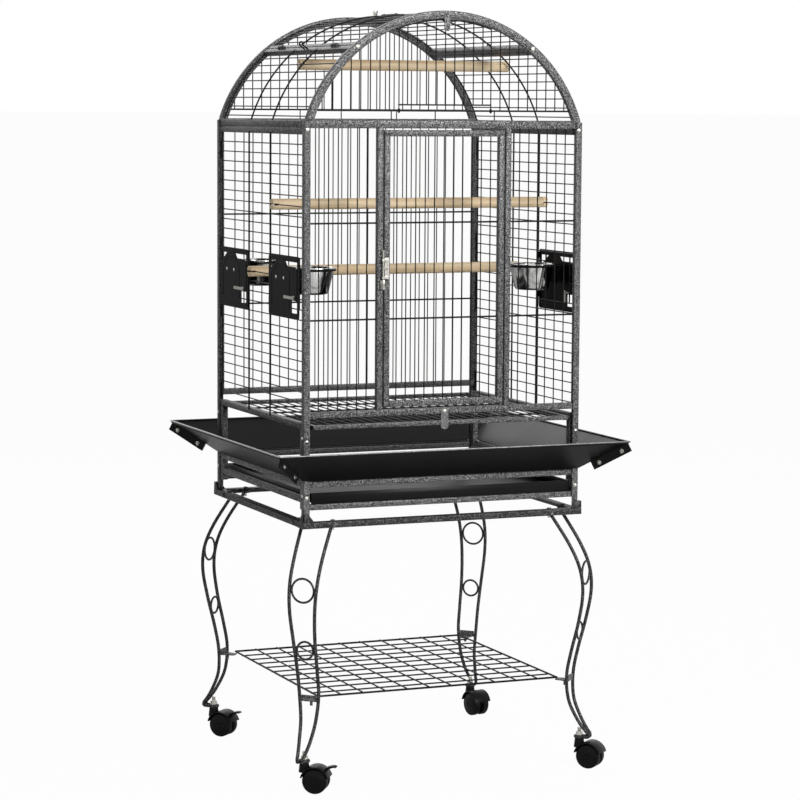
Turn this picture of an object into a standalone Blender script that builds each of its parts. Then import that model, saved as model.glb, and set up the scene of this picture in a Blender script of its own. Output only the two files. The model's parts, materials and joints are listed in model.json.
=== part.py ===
"""Dome-top bird cage on a rolling wire stand, modelled in metres with +Z up.

The origin is on the floor under the middle of the cage. The front faces -Y and the cage's left
side, as seen from the front, faces -X. Square bars stand for the round wires of the grilles.
"""

import math

import bmesh
import bpy
from mathutils import Matrix, Vector

# Clearances
GAP = 0.0003            # between pieces that touch
RUN = 0.00035           # round a turning pin, on the radius

# Cage body
CAGE_WIDTH = 0.593      # over the corner posts
CAGE_DEPTH = 0.514
BODY_TOP = 1.3095       # top of the front panel, under the arch
TUBE = 0.0125           # square tube of every frame
WIRE = 0.0026
WIRE_PITCH = 0.020
STIFFENER = 0.0036
WELD = 0.004            # how far a wire runs into its frame
UPRIGHT_PROUD = 0.0002  # how much thicker an edge wire is than the wires that end in it

# Corner posts
POST_FLANGE = 0.013
POST_WALL = 0.002
POST_TOP = BODY_TOP - 0.0035
SCREW_RADIUS = 0.004
SCREW_HEIGHT = 0.0018
POST_FRONT_SCREWS = (0.577, 0.687, BODY_TOP - 0.0195)
POST_SIDE_SCREWS = (0.581, 0.693)

# Front and rear panels
PANEL_BOTTOM = 0.7315
PANEL_TOP_RAIL = 0.016
PANEL_END = 0.009       # flat at each end, behind the post
DOOR_WIDTH = 0.257
DOOR_BOTTOM = 0.749
DOOR_TOP = BODY_TOP - 0.019
DOOR_SIDE_GAP = 0.0022
STIFFENER_HEIGHTS = (0.922, 1.110)
DOOR_PIN_RADIUS = 0.002
DOOR_PIN_INSET = 0.0035     # from the door's edge and from its front face
DOOR_PIN_REACH = 0.005      # how far a pin goes into its rail

# Door latch
BOLT_RADIUS = 0.0018
BOLT_BOTTOM = 0.9995
BOLT_TOP = 1.058
BOLT_KNOB_Z = 1.022
BOLT_FROM_STILE = 0.0018    # bolt's axis outside the stile's inner edge
BOLT_STANDOFF = 0.0053      # bolt's axis in front of the door
KEEPER = (0.981, 0.999)
EYELETS = ((1.002, 1.006), (1.036, 1.040))
LATCH_PLATE = (1.001, 1.043)

# Swivel tabs
DOOR_TAB_X = 0.002
DOOR_TAB_PIVOT_Z = 0.739
DOOR_TAB_WIDTH = 0.016
DOOR_TAB_LENGTH = 0.0374
APEX_TAB_PIVOT_DROP = 0.0082
APEX_TAB_WIDTH = 0.012
APEX_TAB_LENGTH = 0.0313
TAB_WALL = 0.0012
TAB_PIN_RADIUS = 0.0016
TAB_PIN_REACH = 0.005

# Side panels
SIDE_BOTTOM = 0.7096        # also the floor grate's underside
SIDE_TOP_RAIL = (BODY_TOP - 0.0285, BODY_TOP - 0.0155)
SIDE_END_WIRE = 0.005       # from the panel's end to the end wire
SIDE_WIRE_INSET = 0.005     # wire layer inside the cage's outer face
SIDE_STIFFENER_Y = 0.0625
HOOKS = ((0.722, 0.765), (0.985, 1.026), (1.225, 1.266))

# Feeder doors and bowls
FEEDER_LOW = SIDE_BOTTOM + TUBE + 10 * WIRE_PITCH + 0.0009
FEEDER_HIGH = SIDE_BOTTOM + TUBE + 16 * WIRE_PITCH + 0.0029
FEEDER_LENGTH = 0.1715      # from the hinge wire to the latch edge
FEEDER_WALL = 0.0012
KNUCKLE_RADIUS = 0.0034
KNUCKLE_HEIGHT = 0.012
KNUCKLE_ROWS = (10, 14)     # wire spaces that hold the knuckles
REAR_HINGE_Y = CAGE_DEPTH / 2 - POST_WALL - 2 * GAP - TUBE - SIDE_END_WIRE - 0.0054
FEEDER_OPENING_ROWS = (10, 15)
LATCH_SHAFT_FROM_EDGE = 0.028
LATCH_SHAFT_RADIUS = 0.0022
LATCH_SHAFT_Z = FEEDER_LOW + 0.041
LATCH_LEVER = 0.051
LATCH_TONGUE = 0.020
FEEDER_SLOT = ((0.024, 0.037), (FEEDER_LOW + 0.015, FEEDER_LOW + 0.034))
BOWL_TO_LATCH_EDGE = 0.087
BOWL_X = CAGE_WIDTH / 2 - 0.056
BOWL_RIM_RADIUS = 0.04875
BOWL_BODY_RADIUS = 0.0450
BOWL_BASE_RADIUS = 0.033
BOWL_TOP = FEEDER_HIGH - 0.025
BOWL_RIM = 0.003
BOWL_HEIGHT = 0.053
BOWL_WALL = 0.0015
BOWL_STEPS = 18
RING_WIRE = 0.0036
RING_RADIUS = 0.049
RING_ARM_SPREAD = 0.030

# Perches
PERCH_RADIUS = 0.011
PERCH_SLOT = 0.0036
UPPER_PERCH = (-0.085, 20)  # y, and the wire row that it hangs on
LOWER_PERCH = (REAR_HINGE_Y - FEEDER_LENGTH - 0.0125, 13)
SIDE_PERCH_LENGTH = CAGE_WIDTH + 0.009
DOME_PERCH_Y = -0.045
DOME_PERCH_ANGLE = math.radians(47.6374)    # of the row wires that carry it, from the dome's top

# Base frame, tray and floor grate
UPPER_RAIL = (0.597, 0.609)
LOWER_FRONT_RAIL = (0.5525, 0.564)
LOWER_SIDE_RAIL = (0.566, 0.578)
BASE_STILE = 0.0125
RUNNER_WALL = 0.002
RUNNER_REACH = 0.013
TRAY_WALL = 0.0012
TRAY_TOP = 0.5865
TRAY_SIDE_GAP = 0.002
GRATE_BAR = 0.0085
GRATE_SIDE_GAP = 0.0065
GRATE_CROSS_WIRES = 4

# Seed guard
GUARD_WIDTH = CAGE_WIDTH + 0.157
GUARD_DEPTH = CAGE_DEPTH + 0.156
GUARD_TOP = 0.671
GUARD_BOTTOM = 0.6108
GUARD_WALL = 0.0012
GUARD_INNER_X = CAGE_WIDTH / 2 + 0.001
GUARD_INNER_Y = CAGE_DEPTH / 2 + 0.0015
GUARD_RIM = 0.005
GUARD_LEDGE = 0.010         # how far the inner flange lies on the upper rail
GUARD_SEAM_DEPTH = 0.018
GUARD_SEAM_LENGTH = 0.102
GUARD_SEAM_SCREWS = (0.0245, 0.078)

# Stand
STAND_WIDTH = CAGE_WIDTH + 0.0084
STAND_DEPTH = CAGE_DEPTH + 0.0192
STAND_TOP = 0.530
STAND_FLANGE_HEIGHT = 0.012
STAND_FLANGE_WIDTH = 0.019
STAND_WALL = 0.002
UPSTAND_TOP = 0.545
UPSTAND_WIDTHS = (0.025, 0.012)
BOLT_HEAD = 0.005
LEG_ROD = 0.007
LEG_CORNER = (STAND_WIDTH / 2 - 0.0047, STAND_DEPTH / 2 + 0.0024)
# Height, distance outside the corner along the diagonal, and half the space between the rods
LEG_CURVE = (
    (0.5255, -0.0560, 0.0314), (0.460, -0.0113, 0.0299), (0.410, 0.0118, 0.0290),
    (0.360, 0.0174, 0.0268), (0.300, 0.0076, 0.0232), (0.240, -0.0075, 0.0214),
    (0.190, -0.0168, 0.0206), (0.140, -0.0139, 0.0162), (0.100, 0.0034, 0.0117),
    (0.0755, 0.0200, 0.0072),
)
LEG_STEPS = 2
FOOT_Z = 0.062
LOOP_RADIUS = 0.0082
LEG_RINGS = (0.400, 0.280)
RING_ROD = 0.0045
LEG_TAB = 0.018

# Shelf
SHELF_WIDTH = STAND_WIDTH - 0.0774
SHELF_DEPTH = STAND_DEPTH - 0.0382
SHELF_BOTTOM = 0.1782
SHELF_WIRE = 0.0032
SHELF_CELLS = 11
CLAMP_HALF = 0.0158
CLAMP_WALL = 0.0025

# Casters
STEM_OUT = 0.005            # outside the leg's corner, along the diagonal
WHEEL_RADIUS = 0.025
WHEEL_WIDTH = 0.016
WHEEL_SIDES = 20
WHEEL_SPACE = 0.0076
CASTER_TRAIL = 0.024
CASTER_TURNS = {"front_left": -35, "front_right": -49, "back_left": -50, "back_right": -80}
AXLE_RADIUS = 0.004
STEM_RADIUS = 0.004
HOOD_WALL = 0.003
HOOD_CLEAR = 0.0012

# Dome
DOME_RADIUS = CAGE_WIDTH / 2 + 0.0115
DOME_DROP = 0.095           # circle's centre below the body's top
ARCH_DEPTH = 0.016
DOME_WIRE_RADIUS = DOME_RADIUS - 0.006
DOME_ROW = math.radians(3.78)
MID_RAIL_ANGLE = math.radians(39.65)
FLAP_RAIL_ANGLE = math.radians(37.50)
DOME_RAIL = (0.0105, 0.012)     # along the curve, and across it
BASE_RAIL_TOP = BODY_TOP - 0.0017
CRESCENT_Z = BODY_TOP + 0.0185  # wire under the half-moon grille
CRESCENT_FEET = (-0.114, -0.021, 0.106)
HATCH_HALF = 0.098
HATCH_BOTTOM = CRESCENT_Z + 0.0115
HATCH_RADIUS = DOME_RADIUS - 0.018
FLAP_HINGE_RADIUS = DOME_RADIUS + 0.0015
FLAP_HINGES = (-0.150, 0.150)
FLAP_PIN_RADIUS = 0.0015
LOOP_HEIGHT = 0.018
WING_Y = 0.100

HALF_WIDTH = CAGE_WIDTH / 2
HALF_DEPTH = CAGE_DEPTH / 2
PANEL_X = HALF_WIDTH - POST_WALL - GAP          # outer face of the frames inside the posts
PANEL_Y = HALF_DEPTH - POST_WALL - GAP
PANEL_INNER_Y = PANEL_Y - TUBE
PANEL_MID_Y = PANEL_Y - TUBE / 2
SIDE_END = PANEL_INNER_Y - GAP                  # side frames end against the front panel
DOOR_HALF = DOOR_WIDTH / 2
STILE_INNER = DOOR_HALF + DOOR_SIDE_GAP
STILE_OUTER = STILE_INNER + TUBE
DOME_CENTRE = BODY_TOP - DOME_DROP
DOME_PERCH_Z = DOME_CENTRE + DOME_WIRE_RADIUS * math.cos(DOME_PERCH_ANGLE)
DOME_PERCH_LENGTH = 2 * DOME_WIRE_RADIUS * math.sin(DOME_PERCH_ANGLE) + 0.0117
ARCH_INNER = DOME_RADIUS - ARCH_DEPTH
SIDE_WIRE_X = HALF_WIDTH - SIDE_WIRE_INSET
SIDE_STIFFENER_X = SIDE_WIRE_X + WIRE / 2 + GAP + STIFFENER / 2
FRONT_FEEDER_Y = -SIDE_STIFFENER_Y

FINISHES = {
    "coat": ((0.055, 0.055, 0.058), 0.5, 0.3),
    "wire": ((0.05, 0.05, 0.052), 0.45, 0.4),
    "sheet": ((0.012, 0.012, 0.013), 0.3, 0.2),
    "steel": ((0.62, 0.62, 0.62), 0.15, 1.0),
    "nickel": ((0.6, 0.58, 0.53), 0.25, 1.0),
    "pine": ((0.60, 0.43, 0.26), 0.6, 0.0),
    "plastic": ((0.015, 0.015, 0.016), 0.35, 0.0),
    "tyre": ((0.02, 0.02, 0.021), 0.6, 0.0),
}


# ---- shapes ----------------------------------------------------------------------------------

def new_mesh():
    return bmesh.new()


def box(mesh, low, high):
    """A block between two corners, in whichever order they come."""
    low, high = Vector(low), Vector(high)
    size = Vector([abs(a - b) for a, b in zip(low, high)])
    matrix = Matrix.Translation((low + high) / 2) @ Matrix.Diagonal(size).to_4x4()
    bmesh.ops.create_cube(mesh, size=1, matrix=matrix)


def rod(mesh, start, end, radius, sides=8):
    """A round bar from one point to another."""
    start, end = Vector(start), Vector(end)
    along = end - start
    turn = Vector((0, 0, 1)).rotation_difference(along).to_matrix().to_4x4()
    matrix = Matrix.Translation((start + end) / 2) @ turn @ Matrix.Rotation(math.pi / sides, 4, "Z")
    bmesh.ops.create_cone(mesh, cap_ends=True, segments=sides, radius1=radius, radius2=radius,
                          depth=along.length, matrix=matrix)


def prism(mesh, outline, offset):
    """The outline's face, pushed through by the offset."""
    face = mesh.faces.new([mesh.verts.new(point) for point in outline])
    made = bmesh.ops.extrude_face_region(mesh, geom=[face])["geom"]
    moved = [item for item in made if isinstance(item, bmesh.types.BMVert)]
    bmesh.ops.translate(mesh, verts=moved, vec=Vector(offset))
    bmesh.ops.recalc_face_normals(mesh, faces=mesh.faces)


def swept(mesh, section, centre, axis, angle, steps):
    """The section's face, turned part of the way round an axis."""
    face = mesh.faces.new([mesh.verts.new(point) for point in section])
    bmesh.ops.spin(mesh, geom=[face], cent=centre, axis=axis, angle=angle, steps=steps)
    bmesh.ops.recalc_face_normals(mesh, faces=mesh.faces)


def turned(mesh, section, centre, axis, steps):
    """The section's outline, turned all the way round an axis."""
    points = [mesh.verts.new(point) for point in section]
    edges = [mesh.edges.new(pair) for pair in zip(points, points[1:] + points[:1])]
    bmesh.ops.spin(mesh, geom=points + edges, cent=centre, axis=axis, angle=math.tau,
                   steps=steps, use_merge=True)
    bmesh.ops.remove_doubles(mesh, verts=mesh.verts, dist=1e-6)
    bmesh.ops.recalc_face_normals(mesh, faces=mesh.faces)


def wire_path(mesh, points, radius, closed=False, resolution=1):
    """A round wire bent along the points: a bevelled curve turned into a mesh."""
    curve = bpy.data.curves.new("path", "CURVE")
    curve.dimensions = "3D"
    curve.bevel_depth = radius
    curve.bevel_resolution = resolution
    curve.use_fill_caps = True
    spline = curve.splines.new("POLY")
    spline.points.add(len(points) - 1)
    for knot, point in zip(spline.points, points):
        knot.co = (*point, 1)
    spline.use_cyclic_u = closed
    holder = bpy.data.objects.new("path", curve)
    bpy.context.scene.collection.objects.link(holder)
    graph = bpy.context.evaluated_depsgraph_get()
    made = bpy.data.meshes.new_from_object(holder.evaluated_get(graph))
    part = bmesh.new()
    part.from_mesh(made)
    bmesh.ops.remove_doubles(part, verts=part.verts, dist=1e-6)
    bmesh.ops.recalc_face_normals(part, faces=part.faces)
    part.to_mesh(made)
    part.free()
    mesh.from_mesh(made)
    bpy.data.objects.remove(holder)
    bpy.data.meshes.remove(made)


def smooth_points(knots, steps):
    """Points on a smooth curve through the knots, each with the same number of values."""
    points = []
    for i in range(len(knots) - 1):
        before, start, end, after = (knots[max(i - 1, 0)], knots[i], knots[i + 1],
                                     knots[min(i + 2, len(knots) - 1)])
        for k in range(steps):
            t = k / steps
            points.append(tuple(
                0.5 * (2 * b + (c - a) * t + (2 * a - 5 * b + 4 * c - d) * t * t
                       + (3 * b - a - 3 * c + d) * t ** 3)
                for a, b, c, d in zip(before, start, end, after)))
    points.append(tuple(knots[-1]))
    return points


# ---- objects ---------------------------------------------------------------------------------

def to_object(name, mesh, origin):
    data = bpy.data.meshes.new(name)
    mesh.to_mesh(data)
    mesh.free()
    data.transform(Matrix.Translation(-Vector(origin)))
    made = bpy.data.objects.new(name, data)
    made.location = origin
    bpy.context.scene.collection.objects.link(made)
    return made


def piece(name, finish, mesh, adds=(), cuts=(), origin=(0, 0, 0), smooth=False):
    """One sub-part: a mesh with others joined to it and cut from it by Booleans."""
    made = to_object(name, mesh, origin)
    colour, roughness, metallic = FINISHES[finish]
    material = bpy.data.materials.new(name)
    material.use_nodes = True
    shader = material.node_tree.nodes["Principled BSDF"]
    shader.inputs["Base Color"].default_value = (*colour, 1)
    shader.inputs["Roughness"].default_value = roughness
    shader.inputs["Metallic"].default_value = metallic
    made.data.materials.append(material)
    if smooth:
        made.data.shade_smooth()
        made.data.set_sharp_from_angle(angle=math.radians(35))
    add_jobs(made, [("UNION", helper) for helper in adds] + [("DIFFERENCE", helper) for helper in cuts])
    return made


def move(made, matrix):
    """Turns a finished piece, with the helpers that shape it."""
    for item in [made] + [modifier.object for modifier in made.modifiers]:
        item.matrix_world = matrix @ Matrix.Translation(item.location)


def rows(low, high, pitch):
    """Even places from low, a pitch apart, that stay half a pitch short of high."""
    count = int((high - low) / pitch - 0.5)
    return [low + pitch * (k + 1) for k in range(count)]


def side_rows():
    """Heights of the side panels' wires, counted up from the bottom rail."""
    low = SIDE_BOTTOM + TUBE
    return rows(low, SIDE_TOP_RAIL[0] + WIRE_PITCH / 2, WIRE_PITCH)


# ---- front and rear panels -------------------------------------------------------------------

def framed_grille(front, outer, windows, wires, stiffeners):
    """Meshes of a flat grille in the XZ plane: plate, window cuts, wires and stiffeners.

    front is -1 or 1: which way the outer face looks. Boxes are (x0, z0, x1, z1).
    """
    plate, cuts, bars, backs = new_mesh(), new_mesh(), new_mesh(), new_mesh()
    face, back = front * PANEL_Y, front * PANEL_INNER_Y
    box(plate, (outer[0], face, outer[1]), (outer[2], back, outer[3]))
    for x0, z0, x1, z1 in windows:
        box(cuts, (x0, face + front * 0.001, z0), (x1, back - front * 0.001, z1))
    layer = front * PANEL_MID_Y
    for x, z0, z1 in wires:
        box(bars, (x - WIRE / 2, layer - WIRE / 2, z0 - WELD), (x + WIRE / 2, layer + WIRE / 2, z1 + WELD))
    deep = layer - front * (WIRE / 2 + GAP + STIFFENER / 2)
    for z, x0, x1 in stiffeners:
        box(backs, (x0 - WELD, deep - STIFFENER / 2, z - STIFFENER / 2),
            (x1 + WELD, deep + STIFFENER / 2, z + STIFFENER / 2))
    return plate, cuts, bars, backs


def field_wires(x0, x1, z0, z1):
    return [(x, z0, z1) for x in rows(x0, x1, WIRE_PITCH)]


def door_axis():
    return (DOOR_HALF - DOOR_PIN_INSET, -PANEL_Y + DOOR_PIN_INSET)


def bolt_axis():
    return (-STILE_INNER - BOLT_FROM_STILE, -PANEL_Y - BOLT_STANDOFF)


def make_front_panel():
    low, high = PANEL_BOTTOM + TUBE, BODY_TOP - PANEL_TOP_RAIL
    edge = PANEL_X - PANEL_END
    windows = [(-edge, low, -STILE_OUTER, high), (-STILE_INNER, low, STILE_INNER, high),
               (STILE_OUTER, low, edge, high)]
    right = field_wires(STILE_OUTER, edge, low, high)
    wires = right + [(-x, z0, z1) for x, z0, z1 in right]
    stiffeners = [(z, side * STILE_OUTER if side > 0 else -edge, edge if side > 0 else -STILE_OUTER)
                  for z in STIFFENER_HEIGHTS for side in (-1, 1)]
    plate, cuts, bars, backs = framed_grille(
        -1, (-PANEL_X, PANEL_BOTTOM, PANEL_X, BODY_TOP), windows, wires, stiffeners)
    keeper, bores = new_mesh(), new_mesh()
    bolt_x, bolt_y = bolt_axis()
    reach = BOLT_RADIUS + RUN + 0.0014
    box(keeper, (bolt_x - reach, bolt_y - reach, KEEPER[0]),
        (bolt_x + reach, -PANEL_Y + 0.001, KEEPER[1]))
    rod(bores, (bolt_x, bolt_y, KEEPER[0] - 0.002), (bolt_x, bolt_y, KEEPER[1] + 0.002),
        BOLT_RADIUS + RUN)
    pin_x, pin_y = door_axis()
    deep = DOOR_PIN_REACH + GAP
    for rail, away in ((low, -1), (high, 1)):
        rod(bores, (pin_x, pin_y, rail - away * 0.001), (pin_x, pin_y, rail + away * deep),
            DOOR_PIN_RADIUS + RUN)
    rod(bores, (DOOR_TAB_X, -PANEL_Y - 0.001, DOOR_TAB_PIVOT_Z),
        (DOOR_TAB_X, -PANEL_Y + TAB_PIN_REACH + GAP, DOOR_TAB_PIVOT_Z), TAB_PIN_RADIUS + RUN)
    panel = piece("front_panel", "coat", plate)
    add_jobs(panel, (("DIFFERENCE", cuts), ("UNION", bars), ("UNION", backs), ("UNION", keeper),
                     ("DIFFERENCE", bores)))


def add_jobs(target, jobs):
    """Booleans in the given order, on top of those that the piece has."""
    for number, (operation, helper) in enumerate(jobs):
        tool = to_object(f"{target.name}_job_{number}", helper, target.location)
        tool.hide_render = True
        tool.display_type = "WIRE"
        modifier = target.modifiers.new(tool.name, "BOOLEAN")
        modifier.operation = operation
        modifier.solver = "EXACT"
        modifier.object = tool


def make_back_panel():
    low, high = PANEL_BOTTOM + TUBE, BODY_TOP - PANEL_TOP_RAIL
    edge = PANEL_X - PANEL_END
    half = rows(0, edge, WIRE_PITCH)
    wires = [(x, low, high) for x in [-x for x in half] + [0] + half]
    stiffeners = [(z, -edge, edge) for z in STIFFENER_HEIGHTS]
    plate, cuts, bars, backs = framed_grille(
        1, (-PANEL_X, PANEL_BOTTOM, PANEL_X, BODY_TOP), [(-edge, low, edge, high)], wires, stiffeners)
    panel = piece("back_panel", "coat", plate)
    add_jobs(panel, (("DIFFERENCE", cuts), ("UNION", bars), ("UNION", backs)))


def make_front_door():
    outer = (-DOOR_HALF, DOOR_BOTTOM, DOOR_HALF, DOOR_TOP)
    inner = (-DOOR_HALF + TUBE, DOOR_BOTTOM + TUBE, DOOR_HALF - TUBE, DOOR_TOP - TUBE)
    half = rows(0, inner[2] + WIRE_PITCH / 2, WIRE_PITCH)
    wires = [(x, inner[1], inner[3]) for x in [-x for x in half] + [0] + half]
    stiffeners = [(z, inner[0], inner[2]) for z in STIFFENER_HEIGHTS]
    plate, cuts, bars, backs = framed_grille(-1, outer, [inner], wires, stiffeners)
    pin_x, pin_y = door_axis()
    low, high = PANEL_BOTTOM + TUBE, BODY_TOP - PANEL_TOP_RAIL
    pins = new_mesh()
    rod(pins, (pin_x, pin_y, low - DOOR_PIN_REACH), (pin_x, pin_y, DOOR_BOTTOM + 0.002), DOOR_PIN_RADIUS)
    rod(pins, (pin_x, pin_y, DOOR_TOP - 0.002), (pin_x, pin_y, high + DOOR_PIN_REACH), DOOR_PIN_RADIUS)
    door = piece("front_door", "coat", plate, origin=(pin_x, pin_y, 0))
    add_jobs(door, (("DIFFERENCE", cuts), ("UNION", bars), ("UNION", backs), ("UNION", pins)))


def make_door_latch():
    bolt_x, bolt_y = bolt_axis()
    plate, loops, bores = new_mesh(), new_mesh(), new_mesh()
    face = -PANEL_Y - GAP
    box(plate, (-DOOR_HALF + 0.0005, face, LATCH_PLATE[0]),
        (-DOOR_HALF + 0.0095, face - 0.0016, LATCH_PLATE[1]))
    reach = BOLT_RADIUS + RUN + 0.0014
    for low, high in EYELETS:
        box(loops, (bolt_x - reach, bolt_y - reach, low), (-DOOR_HALF + 0.0070, face - 0.0006, high))
    rod(bores, (bolt_x, bolt_y, LATCH_PLATE[0] - 0.01), (bolt_x, bolt_y, LATCH_PLATE[1] + 0.01),
        BOLT_RADIUS + RUN)
    piece("door_latch_plate", "nickel", plate, adds=(loops,), cuts=(bores,))
    bolt, knob = new_mesh(), new_mesh()
    rod(bolt, (bolt_x, bolt_y, BOLT_BOTTOM), (bolt_x, bolt_y, BOLT_TOP), BOLT_RADIUS)
    rod(knob, (bolt_x, bolt_y - 0.0001, BOLT_KNOB_Z), (bolt_x + 0.010, bolt_y - 0.0001, BOLT_KNOB_Z), 0.0021)
    piece("door_latch_bolt", "nickel", bolt, adds=(knob,), origin=(bolt_x, bolt_y, 0), smooth=True)


def make_swivel_tab(name, pivot, face, width, length):
    """A rounded plate that hangs from a screw. pivot is (x, z) and face is the y it lies on."""
    x, z = pivot
    plate = new_mesh()
    front = face - GAP - TAB_WALL
    half, steps = width / 2, 6
    arc = [(x + half * math.cos(a), front, z + half * math.sin(a) * 0.8)
           for a in [math.pi * k / steps for k in range(steps + 1)]]
    drop = length - half * 0.6
    lower = [(x - half, front, z - drop), (x - half * 0.6, front, z - length),
             (x + half * 0.6, front, z - length), (x + half, front, z - drop)]
    prism(plate, arc + lower, (0, TAB_WALL, 0))
    pin, head = new_mesh(), new_mesh()
    rod(pin, (x, front + 0.0006, z), (x, face + TAB_PIN_REACH, z), TAB_PIN_RADIUS)
    rod(head, (x, front - 0.0016, z), (x, front + 0.0005, z), 0.0036)
    piece(name, "coat", plate, adds=(pin, head), origin=(x, face, z))


# ---- side panels -----------------------------------------------------------------------------

def feeder_span(hinge_y):
    """Where the bowl and its ring pass through the side panel, as (far, near) in y."""
    bowl_y = hinge_y - FEEDER_LENGTH + BOWL_TO_LATCH_EDGE
    ring = RING_RADIUS + RING_WIRE / 2
    reach = math.hypot(SIDE_STIFFENER_X - BOWL_X, hinge_y - bowl_y)
    return hinge_y - reach - ring - 0.0045, hinge_y - reach + ring + 0.0045


def make_side_panel(name, side, hinge_ys):
    """A side grille. side is -1 or 1, and each hinge y has a feeder door in front of it."""
    plate, rail_top = new_mesh(), new_mesh()
    x_out, x_in = side * PANEL_X, side * (PANEL_X - TUBE)
    box(plate, (x_out, -SIDE_END, SIDE_BOTTOM), (x_in, SIDE_END, SIDE_BOTTOM + TUBE))
    box(rail_top, (x_out, -SIDE_END, SIDE_TOP_RAIL[0]), (x_in, SIDE_END, SIDE_TOP_RAIL[1]))
    end = SIDE_END - SIDE_END_WIRE
    layer = side * SIDE_WIRE_X
    low, high = SIDE_BOTTOM + TUBE - WELD, SIDE_TOP_RAIL[0] + WELD
    heights = side_rows()
    first, last = FEEDER_OPENING_ROWS
    spans = [feeder_span(hinge_y) for hinge_y in sorted(hinge_ys)]
    cross = new_mesh()
    for row, z in enumerate(heights):
        stops = [-end]
        if first < row < last:
            for far, near in spans:
                stops += [far - WIRE / 2, near + WIRE / 2]
        stops.append(end)
        for y0, y1 in zip(stops[::2], stops[1::2]):
            box(cross, (layer - WIRE / 2, y0, z - WIRE / 2), (layer + WIRE / 2, y1, z + WIRE / 2))
    uprights = new_mesh()
    thin = WIRE / 2 + UPRIGHT_PROUD
    for y in (-end, end):
        box(uprights, (layer - thin, y - thin, low), (layer + thin, y + thin, high))
    for far, near in spans:
        for y in (far - WIRE / 2, near + WIRE / 2):
            box(uprights, (layer - thin, y - thin, heights[first] - thin),
                (layer + thin, y + thin, heights[last] + thin))
    outside = new_mesh()
    post = side * SIDE_STIFFENER_X
    half = STIFFENER / 2
    for y in (-SIDE_STIFFENER_Y, SIDE_STIFFENER_Y):
        box(outside, (post - half, y - half, low), (post + half, y + half, high))
    feet = new_mesh()
    for hinge_y in hinge_ys:
        if abs(abs(hinge_y) - SIDE_STIFFENER_Y) < half:
            continue
        z0, z1 = heights[first - 1], heights[last + 1]
        box(outside, (post - half, hinge_y - half, z0 - half), (post + half, hinge_y + half, z1 + half))
        for z in (z0, z1):
            box(feet, (post + side * 0.001, hinge_y - 0.0012, z - 0.0009),
                (layer, hinge_y + 0.0012, z + 0.0009))
    hooks = new_mesh()
    for z0, z1 in HOOKS:
        for y in (-1, 1):
            box(hooks, (layer + side * 0.0016, y * (SIDE_END - 0.0002), z0 + 0.0023),
                (layer - side * 0.0003, y * (end - 0.0004), z1 - 0.0023))
    panel = piece(name, "coat", plate)
    jobs = [("UNION", uprights), ("UNION", rail_top), ("UNION", cross), ("UNION", outside)]
    if feet.verts:
        jobs.append(("UNION", feet))
    add_jobs(panel, jobs + [("UNION", hooks)])


# ---- feeders ---------------------------------------------------------------------------------

def make_feeder(name, side, hinge_y):
    """A feeder door with its bowl ring, its turning latch and its bowl."""
    pin_x = side * SIDE_STIFFENER_X
    inner = pin_x + side * (KNUCKLE_RADIUS - FEEDER_WALL)
    outer = pin_x + side * KNUCKLE_RADIUS
    edge = hinge_y - FEEDER_LENGTH
    plate, cuts = new_mesh(), new_mesh()
    box(plate, (inner, edge, FEEDER_LOW), (outer, hinge_y, FEEDER_HIGH))
    (near, far), (slot_low, slot_high) = FEEDER_SLOT
    box(cuts, (inner - side * 0.01, edge + near, slot_low), (outer + side * 0.01, edge + far, slot_high))
    shaft_y = edge + LATCH_SHAFT_FROM_EDGE
    rod(cuts, (inner - side * 0.01, shaft_y, LATCH_SHAFT_Z), (outer + side * 0.01, shaft_y, LATCH_SHAFT_Z),
        LATCH_SHAFT_RADIUS + RUN)
    knuckles, bores = new_mesh(), new_mesh()
    heights = side_rows()
    for row in KNUCKLE_ROWS:
        middle = heights[row] + WIRE_PITCH / 2
        rod(knuckles, (pin_x, hinge_y, middle - KNUCKLE_HEIGHT / 2),
            (pin_x, hinge_y, middle + KNUCKLE_HEIGHT / 2), KNUCKLE_RADIUS)
    reach = STIFFENER / math.sqrt(2) + GAP
    rod(bores, (pin_x, hinge_y, FEEDER_LOW - 0.01), (pin_x, hinge_y, FEEDER_HIGH + 0.01), reach)
    bowl_y = edge + BOWL_TO_LATCH_EDGE
    ring_z = BOWL_TOP - BOWL_RIM - GAP - RING_WIRE / 2
    ring, arms = new_mesh(), new_mesh()
    half = RING_WIRE / 2
    section = [(side * BOWL_X + RING_RADIUS + a * half, bowl_y, ring_z + b * half)
               for a, b in ((-1, -1), (1, -1), (1, 1), (-1, 1))]
    turned(ring, section, (side * BOWL_X, bowl_y, 0), (0, 0, 1), BOWL_STEPS)
    chord = side * (BOWL_X + math.sqrt(RING_RADIUS ** 2 - RING_ARM_SPREAD ** 2))
    for way in (-1, 1):
        y = bowl_y + way * RING_ARM_SPREAD
        box(arms, (inner + side * FEEDER_WALL / 2, y - 0.0015, ring_z - 0.0015),
            (chord - side * 0.0012, y + 0.0015, ring_z + 0.0015))
    door = piece(f"feeder_door_{name}", "sheet", plate, origin=(pin_x, hinge_y, 0))
    add_jobs(door, (("DIFFERENCE", cuts), ("UNION", knuckles), ("DIFFERENCE", bores),
                    ("UNION", arms), ("UNION", ring)))
    make_feeder_latch(name, side, outer, shaft_y)
    make_bowl(name, side * BOWL_X, bowl_y)


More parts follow.
